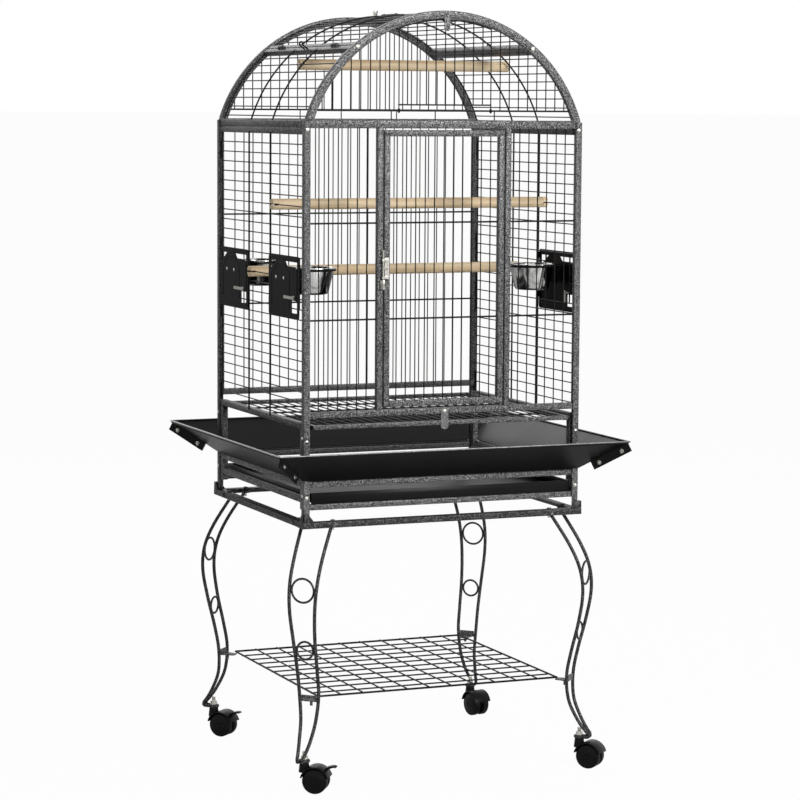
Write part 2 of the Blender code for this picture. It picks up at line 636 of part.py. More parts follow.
def make_feeder_latch(name, side, outer, shaft_y):
    shaft, lever, tongue = new_mesh(), new_mesh(), new_mesh()
    behind = side * (SIDE_WIRE_X - WIRE / 2 - 0.0016)
    z = LATCH_SHAFT_Z
    lever_x = outer + side * (GAP + 0.0015)
    rod(shaft, (behind - side * 0.0022, shaft_y, z), (lever_x + side * 0.0008, shaft_y, z),
        LATCH_SHAFT_RADIUS)
    box(lever, (lever_x - side * 0.0012, shaft_y - 0.006, z - 0.003),
        (lever_x + side * 0.0015, shaft_y + LATCH_LEVER, z + 0.003))
    box(tongue, (behind, shaft_y - 0.0031, z + 0.0035),
        (behind - side * 0.002, shaft_y + 0.0031, z - LATCH_TONGUE))
    piece(f"feeder_latch_{name}", "nickel", shaft, adds=(lever, tongue), origin=(lever_x, shaft_y, z))


def make_bowl(name, x, y):
    bottom, rim = BOWL_TOP - BOWL_HEIGHT, BOWL_TOP - BOWL_RIM
    profile = [(0, bottom), (BOWL_BASE_RADIUS, bottom), (BOWL_BODY_RADIUS, rim - 0.004),
               (BOWL_BODY_RADIUS, rim), (BOWL_RIM_RADIUS, rim), (BOWL_RIM_RADIUS, BOWL_TOP),
               (BOWL_BODY_RADIUS - BOWL_WALL, BOWL_TOP), (BOWL_BODY_RADIUS - BOWL_WALL, rim - 0.004),
               (BOWL_BASE_RADIUS - BOWL_WALL, bottom + BOWL_WALL), (0, bottom + BOWL_WALL)]
    bowl = new_mesh()
    points = [bowl.verts.new((x + r, y, z)) for r, z in profile]
    edges = [bowl.edges.new(pair) for pair in zip(points, points[1:])]
    bmesh.ops.spin(bowl, geom=points + edges, cent=(x, y, 0), axis=(0, 0, 1), angle=math.tau,
                   steps=BOWL_STEPS, use_merge=True)
    bmesh.ops.remove_doubles(bowl, verts=bowl.verts, dist=1e-6)
    bmesh.ops.recalc_face_normals(bowl, faces=bowl.faces)
    piece(f"feeder_bowl_{name}", "steel", bowl, origin=(x, y, bottom), smooth=True)


# ---- perches ---------------------------------------------------------------------------------

def make_perch(name, y, z, length, wire_x, slot):
    """A dowel whose slotted ends sit over a wire at plus and minus wire_x."""
    dowel, slots = new_mesh(), new_mesh()
    rod(dowel, (-length / 2, y, z), (length / 2, y, z), PERCH_RADIUS, sides=16)
    for side in (-1, 1):
        box(slots, (side * (wire_x - WIRE / 2 - GAP), y - 0.02, z - slot / 2),
            (side * (length / 2 + 0.01), y + 0.02, z + slot / 2))
    piece(name, "pine", dowel, cuts=(slots,), smooth=True)


def make_perches():
    heights = side_rows()
    for name, (y, row) in (("perch_upper", UPPER_PERCH), ("perch_lower", LOWER_PERCH)):
        make_perch(name, y, heights[row], SIDE_PERCH_LENGTH, SIDE_WIRE_X, PERCH_SLOT)
    angle = perch_angle()
    make_perch("perch_dome", DOME_PERCH_Y, DOME_PERCH_Z, DOME_PERCH_LENGTH,
               DOME_WIRE_RADIUS * math.sin(angle) - 0.0005, 0.0044)


# ---- base frame, tray and grate --------------------------------------------------------------

def ring_bars(half_x, half_y, tube, low, high):
    """A plate and the hole in it that leaves four bars round a rectangle."""
    plate, hole = new_mesh(), new_mesh()
    box(plate, (-half_x, -half_y, low), (half_x, half_y, high))
    box(hole, (-half_x + tube, -half_y + tube, low - 0.001), (half_x - tube, half_y - tube, high + 0.001))
    return plate, hole


def make_base_frame():
    upper, upper_hole = ring_bars(PANEL_X, PANEL_Y, TUBE, *UPPER_RAIL)
    ends, sides, runners = new_mesh(), new_mesh(), new_mesh()
    stile_top = SIDE_BOTTOM - GAP
    for way in (-1, 1):
        box(ends, (-PANEL_X, way * PANEL_Y, LOWER_FRONT_RAIL[0]),
            (PANEL_X, way * PANEL_INNER_Y, LOWER_FRONT_RAIL[1]))
    stiles = new_mesh()
    for x in (-1, 1):
        for y in (-1, 1):
            box(stiles, (x * (PANEL_X - 0.0002), y * (PANEL_INNER_Y + 0.003), LOWER_FRONT_RAIL[0] + 0.0002),
                (x * (PANEL_X - TUBE + 0.0002), y * (PANEL_INNER_Y - BASE_STILE), stile_top))
        box(sides, (x * (PANEL_X - 0.0004), -PANEL_INNER_Y - 0.001, LOWER_SIDE_RAIL[0]),
            (x * (PANEL_X - TUBE), PANEL_INNER_Y + 0.001, LOWER_SIDE_RAIL[1]))
        start = PANEL_X - TUBE + 0.0015
        for top in (LOWER_SIDE_RAIL[0] + RUNNER_WALL, stile_top):
            box(runners, (x * start, -SIDE_END + 0.002, top - RUNNER_WALL + 0.0001),
                (x * (start - RUNNER_REACH), SIDE_END - 0.002, top))
    frame = piece("base_frame", "coat", upper)
    add_jobs(frame, (("DIFFERENCE", upper_hole), ("UNION", stiles), ("UNION", ends),
                     ("UNION", sides), ("UNION", runners)))


def make_tray():
    half_x = PANEL_X - TUBE - TRAY_SIDE_GAP
    floor = LOWER_SIDE_RAIL[0] + RUNNER_WALL + GAP
    front, back = -PANEL_Y + 0.001, SIDE_END - 0.002
    tray, hollow, skirt = new_mesh(), new_mesh(), new_mesh()
    box(tray, (-half_x, front, floor), (half_x, back, TRAY_TOP))
    box(hollow, (-half_x + TRAY_WALL, front + TRAY_WALL, floor + TRAY_WALL),
        (half_x - TRAY_WALL, back - TRAY_WALL, TRAY_TOP + 0.01))
    box(skirt, (-half_x + 0.0002, front + 0.0001, LOWER_FRONT_RAIL[1] + GAP),
        (half_x - 0.0002, front + TRAY_WALL - 0.0001, floor + 0.004))
    piece("tray", "sheet", tray, adds=(skirt,), cuts=(hollow,))


def make_floor_grate():
    half_x = PANEL_X - TUBE - GRATE_SIDE_GAP
    front, back = -PANEL_Y, SIDE_END - 0.002
    low, high = SIDE_BOTTOM, SIDE_BOTTOM + GRATE_BAR
    plate, window, long_wires, cross_wires = new_mesh(), new_mesh(), new_mesh(), new_mesh()
    box(plate, (-half_x, front, low), (half_x, back, high))
    box(window, (-half_x + GRATE_BAR, front + GRATE_BAR, low - 0.001),
        (half_x - GRATE_BAR, back - GRATE_BAR, high + 0.001))
    layer = high - WIRE
    step = WIRE_PITCH / 2
    first = DOOR_TAB_X - step - WIRE_PITCH * int((half_x - GRATE_BAR - step + DOOR_TAB_X) / WIRE_PITCH)
    x = first
    while x < half_x - GRATE_BAR - WIRE:
        box(long_wires, (x - WIRE / 2, front + GRATE_BAR - WELD, layer - WIRE / 2),
            (x + WIRE / 2, back - GRATE_BAR + WELD, layer + WIRE / 2))
        x += WIRE_PITCH
    under = layer - WIRE / 2 - GAP - STIFFENER / 2
    for k in range(1, GRATE_CROSS_WIRES + 1):
        y = front + (back - front) * k / (GRATE_CROSS_WIRES + 1)
        box(cross_wires, (-half_x + GRATE_BAR - WELD, y - STIFFENER / 2, under - STIFFENER / 2),
            (half_x - GRATE_BAR + WELD, y + STIFFENER / 2, under + STIFFENER / 2))
    grate = piece("floor_grate", "wire", plate)
    add_jobs(grate, (("DIFFERENCE", window), ("UNION", long_wires), ("UNION", cross_wires)))


# ---- seed guard ------------------------------------------------------------------------------

def make_seed_guard(name, turn, half_long, half_out, inner_long, inner_out, notch, rail):
    """One sloping apron. It is shaped facing -Y and turned a quarter at a time."""
    mitre = 0.0011      # half the space left for the two seam flanges and their joint
    up = Vector((0, GUARD_TOP - GUARD_BOTTOM, half_out - inner_out)).normalized() * GUARD_WALL
    sheet = new_mesh()
    corners = [(-inner_long + mitre, -inner_out, GUARD_BOTTOM),
               (inner_long - mitre, -inner_out, GUARD_BOTTOM),
               (half_long - mitre, -half_out, GUARD_TOP - GUARD_WALL),
               (-half_long + mitre, -half_out, GUARD_TOP - GUARD_WALL)]
    prism(sheet, corners, up)
    inner_flange, rim, seams, heads = new_mesh(), new_mesh(), new_mesh(), new_mesh()
    box(inner_flange, (-notch, -inner_out - 0.0012, GUARD_BOTTOM - 0.0012),
        (notch, -rail + GUARD_LEDGE, GUARD_BOTTOM + 0.0001))
    rim_y = -half_out + 0.0001
    box(rim, (-half_long + GUARD_RIM + 0.0015, rim_y, GUARD_TOP - GUARD_RIM),
        (half_long - GUARD_RIM - 0.0015, rim_y + GUARD_RIM, GUARD_TOP - 0.0002))
    for side in (-1, 1):
        outer = Vector((side * (half_long - mitre), -half_out, GUARD_TOP - GUARD_WALL))
        inner = Vector((side * (inner_long - mitre), -inner_out, GUARD_BOTTOM))
        along = (inner - outer).normalized()
        flat = Vector((along.x, along.y, 0)).normalized()
        down = along.cross(flat.cross(Vector((0, 0, 1)))).normalized()
        if down.z > 0:
            down = -down
        thick = Vector((-side * flat.y, side * flat.x, 0)).normalized() * -GUARD_WALL
        if thick.x * side > 0:
            thick = -thick
        start = outer + along * 0.006 - down * 0.0004
        end = outer + along * (GUARD_SEAM_LENGTH - 0.008) - down * 0.0004
        outline = [start, end, end + down * GUARD_SEAM_DEPTH, start + down * GUARD_SEAM_DEPTH]
        prism(seams, outline, thick)
        for place in GUARD_SEAM_SCREWS:
            spot = outer + along * place + down * GUARD_SEAM_DEPTH * 0.5 + thick * 0.5
            rod(heads, spot, spot + thick.normalized() * 0.0035, 0.0036)
    made = piece(name, "sheet", sheet)
    add_jobs(made, (("UNION", inner_flange), ("UNION", rim), ("UNION", seams), ("UNION", heads)))
    move(made, Matrix.Rotation(math.radians(turn), 4, "Z"))


def make_seed_guards():
    front_notch = PANEL_X - TUBE - 2 * GAP
    side_notch = PANEL_INNER_Y - BASE_STILE - 2 * GAP
    front = (GUARD_WIDTH / 2, GUARD_DEPTH / 2, GUARD_INNER_X, GUARD_INNER_Y, front_notch, PANEL_Y)
    side = (GUARD_DEPTH / 2, GUARD_WIDTH / 2, GUARD_INNER_Y, GUARD_INNER_X, side_notch, PANEL_X)
    for name, turn, size in (("seed_guard_front", 0, front), ("seed_guard_right", 90, side),
                             ("seed_guard_back", 180, front), ("seed_guard_left", 270, side)):
        make_seed_guard(name, turn, *size)


# ---- posts and stand -------------------------------------------------------------------------

def make_posts():
    for name, sx, sy in (("front_left", -1, -1), ("front_right", 1, -1),
                         ("back_left", -1, 1), ("back_right", 1, 1)):
        x, y = sx * HALF_WIDTH, sy * HALF_DEPTH
        low = STAND_TOP + GAP
        outline = [(x, y, low), (x - sx * POST_FLANGE, y, low),
                   (x - sx * POST_FLANGE, y - sy * POST_WALL, low),
                   (x - sx * POST_WALL, y - sy * POST_WALL, low),
                   (x - sx * POST_WALL, y - sy * POST_FLANGE, low), (x, y - sy * POST_FLANGE, low)]
        post, heads = new_mesh(), new_mesh()
        prism(post, outline, (0, 0, POST_TOP - low))
        middle = POST_FLANGE / 2
        for z in POST_FRONT_SCREWS:
            rod(heads, (x - sx * middle, y - sy * 0.001, z),
                (x - sx * middle, y + sy * SCREW_HEIGHT, z), SCREW_RADIUS)
        for z in POST_SIDE_SCREWS:
            rod(heads, (x - sx * 0.001, y - sy * middle, z),
                (x + sx * SCREW_HEIGHT * 0.5, y - sy * middle, z), SCREW_RADIUS)
        piece(f"post_{name}", "coat", post, adds=(heads,))


def make_stand_top():
    half_x, half_y = STAND_WIDTH / 2, STAND_DEPTH / 2
    low = STAND_TOP - STAND_FLANGE_HEIGHT
    ring, hollow, window, upstands, heads = (new_mesh() for _ in range(5))
    box(ring, (-half_x, -half_y, low), (half_x, half_y, STAND_TOP))
    box(hollow, (-half_x + STAND_WALL, -half_y + STAND_WALL, low - 0.001),
        (half_x - STAND_WALL, half_y - STAND_WALL, STAND_TOP - STAND_WALL))
    box(window, (-half_x + STAND_FLANGE_WIDTH, -half_y + STAND_FLANGE_WIDTH, low - 0.001),
        (half_x - STAND_FLANGE_WIDTH, half_y - STAND_FLANGE_WIDTH, STAND_TOP + 0.001))
    wide, narrow = UPSTAND_WIDTHS
    ends = new_mesh()
    inset, wall = 0.0001, STAND_WALL - 0.0002
    base = STAND_TOP - 0.0008
    for sx in (-1, 1):
        for sy in (-1, 1):
            x, y = sx * (half_x - inset), sy * (half_y - inset)
            face = [(x, y, base), (x - sx * wide, y, base), (x - sx * narrow, y, UPSTAND_TOP),
                    (x, y, UPSTAND_TOP)]
            prism(upstands, face, (0, -sy * wall, 0))
            face = [(x, y - sy * 0.0001, base), (x, y - sy * wide, base),
                    (x, y - sy * narrow, UPSTAND_TOP - 0.0001),
                    (x, y - sy * 0.0001, UPSTAND_TOP - 0.0001)]
            prism(ends, face, (-sx * wall, 0, 0))
    middle = (low + STAND_TOP) / 2
    for sx in (-1, 1):
        for sy in (-1, 1):
            rod_x, rod_y = leg_tops(sx, sy)
            rod(heads, (rod_x[0], sy * (half_y - 0.001), middle),
                (rod_x[0], sy * (half_y + 0.003), middle), BOLT_HEAD, 6)
            rod(heads, (sx * (half_x - 0.001), rod_y[1], middle),
                (sx * (half_x + 0.003), rod_y[1], middle), BOLT_HEAD, 6)
    frame = piece("stand_top_frame", "coat", ring)
    add_jobs(frame, (("DIFFERENCE", hollow), ("DIFFERENCE", window), ("UNION", upstands),
                     ("UNION", ends), ("UNION", heads)))


def leg_point(sx, sy, out, across, z):
    """A place at a leg's corner: along the diagonal, across it, and up."""
    diagonal = math.sqrt(0.5)
    x = sx * (LEG_CORNER[0] + out * diagonal) - sx * across * diagonal
    y = sy * (LEG_CORNER[1] + out * diagonal) + sy * across * diagonal
    return (x, y, z)


def leg_tops(sx, sy):
    """Tops of a leg's rods: (x, y) of the one by the front or rear flange, then the side one."""
    z, out, half = LEG_CURVE[0]
    end_rod, side_rod = leg_point(sx, sy, out, half, z), leg_point(sx, sy, out, -half, z)
    return end_rod[:2], side_rod[:2]


def make_leg(name, sx, sy):
    """Two bent rods that are one piece: a hairpin round the caster's stem at the foot."""
    curve = smooth_points(LEG_CURVE, LEG_STEPS)
    one = [leg_point(sx, sy, out, half, z) for z, out, half in curve]
    other = [leg_point(sx, sy, out, -half, z) for z, out, half in curve]
    bend = [(0.0262, 0.0057, 0.0672), (0.0262, 0.0055, FOOT_Z + 0.0008), (0.0215, 0.0056, FOOT_Z)]
    turns = [math.radians(a) for a in (38, 75, 112, 149)]
    loop = [(STEM_OUT + LOOP_RADIUS * math.cos(a), LOOP_RADIUS * math.sin(a), FOOT_Z) for a in turns]
    half_foot = bend + loop
    tip = [(STEM_OUT - LOOP_RADIUS, 0, FOOT_Z)]
    route = one + [leg_point(sx, sy, o, a, z) for o, a, z in half_foot]
    route += [leg_point(sx, sy, o, a, z) for o, a, z in tip]
    route += [leg_point(sx, sy, o, -a, z) for o, a, z in reversed(half_foot)] + list(reversed(other))
    leg, rings, tabs = new_mesh(), [], new_mesh()
    wire_path(leg, route, LEG_ROD / 2)
    for z in LEG_RINGS:
        out, half = leg_offsets(z)
        radius = half - LEG_ROD / 2 - RING_ROD / 2 + 0.0012
        circle = [leg_point(sx, sy, out, radius * math.cos(a), z + radius * math.sin(a))
                  for a in [math.tau * k / 12 for k in range(12)]]
        ring = new_mesh()
        wire_path(ring, circle, RING_ROD / 2, closed=True, resolution=0)
        rings.append(ring)
    (end_x, end_y), (side_x, side_y) = leg_tops(sx, sy)
    low, high = STAND_TOP - STAND_FLANGE_HEIGHT + 0.001, STAND_TOP - STAND_WALL - GAP
    inner_x, inner_y = STAND_WIDTH / 2 - STAND_WALL - GAP, STAND_DEPTH / 2 - STAND_WALL - GAP
    box(tabs, (end_x - LEG_TAB / 2, sy * inner_y, low), (end_x + LEG_TAB / 2, end_y, high))
    box(tabs, (sx * inner_x, side_y - LEG_TAB / 2, low), (side_x, side_y + LEG_TAB / 2, high))
    made = piece(name, "coat", leg, smooth=True)
    add_jobs(made, [("UNION", tabs)] + [("UNION", ring) for ring in rings])


def leg_offsets(z):
    """Where the leg's rods are at a height, by interpolation on its smooth curve."""
    curve = smooth_points(LEG_CURVE, LEG_STEPS)
    for (z1, out1, half1), (z0, out0, half0) in zip(curve, curve[1:]):
        if z0 <= z <= z1:
            t = (z - z0) / (z1 - z0)
            return out0 + (out1 - out0) * t, half0 + (half1 - half0) * t
    raise ValueError("height is off the leg")


def make_shelf():
    half_x, half_y = SHELF_WIDTH / 2, SHELF_DEPTH / 2
    top = SHELF_BOTTOM + 2 * SHELF_WIRE + GAP
    plate, hole = ring_bars(half_x, half_y, SHELF_WIRE + 0.0008, SHELF_BOTTOM, top)
    across, along = new_mesh(), new_mesh()
    half = SHELF_WIRE / 2
    lower, upper = SHELF_BOTTOM + half, top - half
    for k in range(1, SHELF_CELLS):
        y = -half_y + SHELF_DEPTH * k / SHELF_CELLS
        box(across, (-half_x + 0.002, y - half, lower - half + 0.0002),
            (half_x - 0.002, y + half, lower + half))
        x = -half_x + SHELF_WIDTH * k / SHELF_CELLS
        box(along, (x - half, -half_y + 0.002, upper - half),
            (x + half, half_y - 0.002, upper + half - 0.0002))
    shelf = piece("shelf_grid", "wire", plate)
    add_jobs(shelf, (("DIFFERENCE", hole), ("UNION", across), ("UNION", along)))


def make_clamp(name, sx, sy):
    """The plate between a leg's rods that carries the shelf's corner."""
    z = SHELF_BOTTOM
    out, _ = leg_offsets(z)
    top = z - GAP
    low, high = top - CLAMP_WALL, top + 0.010
    upright, tongue, bolt = new_mesh(), new_mesh(), new_mesh()
    face = [leg_point(sx, sy, out - CLAMP_WALL / 2, a, b)
            for a, b in ((-CLAMP_HALF, low), (CLAMP_HALF, low), (CLAMP_HALF, high), (-CLAMP_HALF, high))]
    toward = Vector(leg_point(sx, sy, 1, 0, 0)) - Vector(leg_point(sx, sy, 0, 0, 0))
    prism(upright, face, toward * CLAMP_WALL)
    reach = -0.046
    flat = [leg_point(sx, sy, o, a, low + 0.0001)
            for o, a in ((out, -0.014), (out, 0.014), (reach, 0.008), (reach, -0.008))]
    prism(tongue, flat, (0, 0, CLAMP_WALL - 0.0001))
    rod(bolt, leg_point(sx, sy, out - 0.011, 0, low - 0.010),
        leg_point(sx, sy, out - 0.011, 0, low + 0.001), 0.003, 6)
    piece(name, "coat", upright, adds=(tongue, bolt))


# ---- casters ---------------------------------------------------------------------------------

def make_caster(name, sx, sy, brake):
    """A twin-wheel caster with its stem in the leg's loop. It is shaped trailing to +X, then turned."""
    stem_x, stem_y, _ = leg_point(sx, sy, STEM_OUT, 0, 0)
    axle_x = stem_x + CASTER_TRAIL
    centre = (axle_x, stem_y, WHEEL_RADIUS)
    inner, outer = WHEEL_SPACE / 2, WHEEL_SPACE / 2 + WHEEL_WIDTH
    wheels, axle = new_mesh(), new_mesh()
    for way in (-1, 1):
        rod(wheels, (axle_x, stem_y + way * inner, WHEEL_RADIUS),
            (axle_x, stem_y + way * outer, WHEEL_RADIUS),
            WHEEL_RADIUS / math.cos(math.pi / WHEEL_SIDES), sides=WHEEL_SIDES)
    rod(axle, (axle_x, stem_y - outer + 0.003, WHEEL_RADIUS), (axle_x, stem_y + outer - 0.003, WHEEL_RADIUS),
        AXLE_RADIUS, sides=12)
    wheel = piece(f"caster_wheel_{name}", "tyre", wheels, adds=(axle,), origin=centre, smooth=True)
    web_half = inner - GAP * 2
    hood_in = WHEEL_RADIUS + HOOD_CLEAR
    hood_out = hood_in + HOOD_WALL
    hood, web, bore, boss, stem, nut = (new_mesh() for _ in range(6))
    start = math.radians(16)
    section = [(axle_x + r * math.cos(start), stem_y + y, WHEEL_RADIUS + r * math.sin(start))
               for r, y in ((hood_in, -outer), (hood_out, -outer), (hood_out, outer), (hood_in, outer))]
    swept(hood, section, centre, (0, -1, 0), math.radians(150), 8)
    arc = [math.radians(16 + 150 * k / 8) for k in range(9)]
    outline = [(axle_x + (hood_in + 0.001) * math.cos(a), stem_y - web_half,
                WHEEL_RADIUS + (hood_in + 0.001) * math.sin(a)) for a in arc]
    outline += [(axle_x - 0.010, stem_y - web_half, WHEEL_RADIUS - 0.009),
                (axle_x + 0.010, stem_y - web_half, WHEEL_RADIUS - 0.009)]
    prism(web, outline, (0, 2 * web_half, 0))
    rod(bore, (axle_x, stem_y - 0.05, WHEEL_RADIUS), (axle_x, stem_y + 0.05, WHEEL_RADIUS),
        AXLE_RADIUS + RUN, sides=12)
    rod_half = LEG_ROD / 2
    hood_top = FOOT_Z - rod_half - GAP
    rod(boss, (stem_x, stem_y, WHEEL_RADIUS + 0.012), (stem_x, stem_y, hood_top), 0.0095, sides=10)
    clear_of_wheels = new_mesh()
    for way in (-1, 1):
        rod(clear_of_wheels, (axle_x, stem_y + way * (inner - GAP), WHEEL_RADIUS),
            (axle_x, stem_y + way * (outer + 0.002), WHEEL_RADIUS), hood_in, sides=WHEEL_SIDES)
    rod(stem, (stem_x, stem_y, hood_top - 0.002), (stem_x, stem_y, FOOT_Z + 0.019), STEM_RADIUS)
    nut_low = FOOT_Z + rod_half + GAP
    rod(nut, (stem_x, stem_y, nut_low), (stem_x, stem_y, nut_low + 0.0065), 0.0072, sides=6)
    body = piece(f"caster_hood_{name}", "plastic", hood, origin=(stem_x, stem_y, 0), smooth=True)
    add_jobs(body, (("UNION", web), ("UNION", boss), ("DIFFERENCE", clear_of_wheels), ("DIFFERENCE", bore),
                    ("UNION", stem), ("UNION", nut)))
    parts = [wheel, body]
    if brake:
        parts.append(make_brake(name, axle_x, stem_y, hood_out))
    turn = Matrix.Rotation(math.radians(CASTER_TURNS[name]), 4, "Z")
    stem_place = Matrix.Translation((stem_x, stem_y, 0))
    for made in parts:
        move(made, stem_place @ turn @ stem_place.inverted())


def make_brake(name, axle_x, stem_y, hood_out):
    """The foot lever at the trailing end of the hood."""
    angle = math.radians(46)
    pivot = (axle_x + (hood_out + 0.0038) * math.cos(angle), stem_y,
             WHEEL_RADIUS + (hood_out + 0.0038) * math.sin(angle))
    lever, barrel = new_mesh(), new_mesh()
    rod(barrel, (pivot[0], stem_y - 0.008, pivot[2]), (pivot[0], stem_y + 0.008, pivot[2]), 0.0035, sides=10)
    outline = [(pivot[0], stem_y - 0.0075, pivot[2] + 0.003), (pivot[0], stem_y - 0.0075, pivot[2] - 0.0005),
               (pivot[0] + 0.019, stem_y - 0.0075, pivot[2] + 0.0035),
               (pivot[0] + 0.019, stem_y - 0.0075, pivot[2] + 0.0068)]
    prism(lever, outline, (0, 0.015, 0))
    return piece(f"caster_brake_{name}", "plastic", barrel, adds=(lever,), origin=pivot, smooth=True)


def make_corners():
    for name, sx, sy in (("front_left", -1, -1), ("front_right", 1, -1),
                         ("back_left", -1, 1), ("back_right", 1, 1)):
        make_leg(f"leg_{name}", sx, sy)
        make_clamp(f"shelf_clamp_{name}", sx, sy)
        make_caster(name, sx, sy, brake=sx < 0)


# ---- dome ------------------------------------------------------------------------------------

def on_dome(radius, angle, side=1):
    """(x, z) at a radius and an angle from the top; side is -1 for the left."""
    return side * radius * math.sin(angle), DOME_CENTRE + radius * math.cos(angle)


def perch_angle():
    return math.acos((DOME_PERCH_Z - DOME_CENTRE) / DOME_WIRE_RADIUS)


def dome_arc(mesh, radius, half, y, start, end, steps):
    """A square curved bar in the XZ plane between two angles from the top."""
    section = []
    for dr, dy in ((-half, -half), (half, -half), (half, half), (-half, half)):
        x, z = on_dome(radius + dr, start)
        section.append((x, y + dy, z))
    swept(mesh, section, (0, y, DOME_CENTRE), (0, 1, 0), end - start, steps)


def make_dome_end(name, way, hatch):
    """An arch with its half-moon grille. way is -1 at the front and 1 at the rear."""
    y_out = way * HALF_DEPTH
    y_in = way * (HALF_DEPTH - TUBE)
    middle = (y_out + y_in) / 2
    arch, foot_cut, bars, crescent = (new_mesh() for _ in range(4))
    spread = math.radians(76)
    section = []
    for radius, y in ((ARCH_INNER, y_out), (DOME_RADIUS, y_out), (DOME_RADIUS, y_in), (ARCH_INNER, y_in)):
        x, z = on_dome(radius, -spread)
        section.append((x, y, z))
    swept(arch, section, (0, 0, DOME_CENTRE), (0, 1, 0), 2 * spread, 26)
    box(foot_cut, (-1, middle - 0.05, BODY_TOP - 0.2), (1, middle + 0.05, BODY_TOP + GAP))
    weld_radius = ARCH_INNER + WELD
    reach = math.sqrt(ARCH_INNER ** 2 - (CRESCENT_Z - DOME_CENTRE) ** 2)
    half = STIFFENER / 2
    box(crescent, (-reach - 0.003, middle - half, CRESCENT_Z - half),
        (reach + 0.003, middle + half, CRESCENT_Z + half))
    start = HATCH_HALF if hatch else 0
    places = rows(start, reach + WIRE_PITCH * 0.3, WIRE_PITCH)
    places += [-x for x in places] + ([] if hatch else [0])
    for x in places:
        top = DOME_CENTRE + math.sqrt(weld_radius ** 2 - x * x)
        box(bars, (x - WIRE / 2, middle - WIRE / 2, CRESCENT_Z), (x + WIRE / 2, middle + WIRE / 2, top))
    feet = new_mesh()
    for x in CRESCENT_FEET:
        box(feet, (x - WIRE / 2, middle - WIRE / 2, BODY_TOP + GAP),
            (x + WIRE / 2, middle + WIRE / 2, CRESCENT_Z - 0.0005))
    heads, holes = new_mesh(), new_mesh()
    for side in (-1, 1):
        x, z = on_dome(DOME_RADIUS - ARCH_DEPTH / 2, math.radians(38.4), side)
        rod(heads, (x, y_out - way * 0.001, z), (x, y_out + way * SCREW_HEIGHT, z), SCREW_RADIUS)
    made = piece(name, "coat", arch)
    jobs = [("DIFFERENCE", foot_cut), ("UNION", crescent), ("UNION", bars), ("UNION", feet), ("UNION", heads)]
    if hatch:
        pivot = DOME_CENTRE + DOME_RADIUS - APEX_TAB_PIVOT_DROP
        rod(holes, (0, y_out - 0.001, pivot), (0, y_out + TAB_PIN_REACH + GAP, pivot), TAB_PIN_RADIUS + RUN)
        jobs.append(("DIFFERENCE", holes))
    add_jobs(made, jobs)


def make_hatch():
    """The wire door in the front of the dome. Its hooks turn on the crescent wire."""
    y = -(HALF_DEPTH - TUBE / 2)
    half = WIRE / 2
    edge = math.asin(HATCH_HALF / HATCH_RADIUS)
    arc, frame, bars, hooks, bores = (new_mesh() for _ in range(5))
    dome_arc(arc, HATCH_RADIUS, half, y, -edge, edge, 8)
    shoulder = DOME_CENTRE + math.sqrt(HATCH_RADIUS ** 2 - HATCH_HALF ** 2)
    box(frame, (-HATCH_HALF - half, y - half + 0.0001, HATCH_BOTTOM - half),
        (HATCH_HALF + half, y + half - 0.0001, HATCH_BOTTOM + half))
    places = rows(0, HATCH_HALF, WIRE_PITCH)
    for x in [-x for x in places] + [0] + places:
        top = DOME_CENTRE + math.sqrt(HATCH_RADIUS ** 2 - x * x)
        box(bars, (x - half, y - half + 0.0002, HATCH_BOTTOM), (x + half, y + half - 0.0002, top))
    wire = STIFFENER / math.sqrt(2)
    for side in (-1, 1):
        x = side * HATCH_HALF
        box(bars, (x - half + 0.0001, y - half + 0.0002, CRESCENT_Z + wire + 0.0012),
            (x + half - 0.0001, y + half - 0.0002, shoulder + 0.0006))
        rod(hooks, (x - 0.003, y, CRESCENT_Z), (x + 0.003, y, CRESCENT_Z), wire + GAP + 0.0018)
        rod(bores, (x - 0.01, y, CRESCENT_Z), (x + 0.01, y, CRESCENT_Z), wire + GAP)
    hatch = piece("dome_hatch", "wire", arc, origin=(0, y, CRESCENT_Z))
    add_jobs(hatch, (("UNION", frame), ("UNION", bars), ("UNION", hooks), ("DIFFERENCE", bores)))


def tilted_rail(mesh, angle, side, half_length):
    """A square rail along Y that follows the dome's curve."""
    along, across = DOME_RAIL
    middle = DOME_WIRE_RADIUS - 0.002
    corners = []
    for a, r in ((-1, -1), (1, -1), (1, 1), (-1, 1)):
        x, z = on_dome(middle + r * across / 2, angle, side)
        shift = a * along / 2
        corners.append((x + side * shift * math.cos(angle), -half_length, z - shift * math.sin(angle)))
    prism(mesh, corners, (0, 2 * half_length, 0))


def curved_wires(side, start, end, steps, length_y):
    """End wires in the grille's own layer, and stiffeners outside it, between two angles."""
    ends, outside = new_mesh(), new_mesh()
    thin = WIRE / 2 + UPRIGHT_PROUD
    for y in (-length_y, length_y):
        dome_arc(ends, DOME_WIRE_RADIUS, thin, y, side * start, side * end, steps)
    layer = DOME_WIRE_RADIUS + WIRE / 2 + GAP + STIFFENER / 2
    for y in (-SIDE_STIFFENER_Y, SIDE_STIFFENER_Y):
        dome_arc(outside, layer, STIFFENER / 2, y, side * start, side * end, steps)
    return ends, outside


def row_wires(side, angles, half_length):
    bars = new_mesh()
    for angle in angles:
        section = []
        for a, r in ((-1, -1), (1, -1), (1, 1), (-1, 1)):
            x, z = on_dome(DOME_WIRE_RADIUS + r * WIRE / 2, angle, side)
            shift = a * WIRE / 2
            section.append((x + side * shift * math.cos(angle), -half_length, z - shift * math.sin(angle)))
        prism(bars, section, (0, 2 * half_length, 0))
    return bars


def hinge_point(side):
    return on_dome(FLAP_HINGE_RADIUS, (MID_RAIL_ANGLE + FLAP_RAIL_ANGLE) / 2, side)


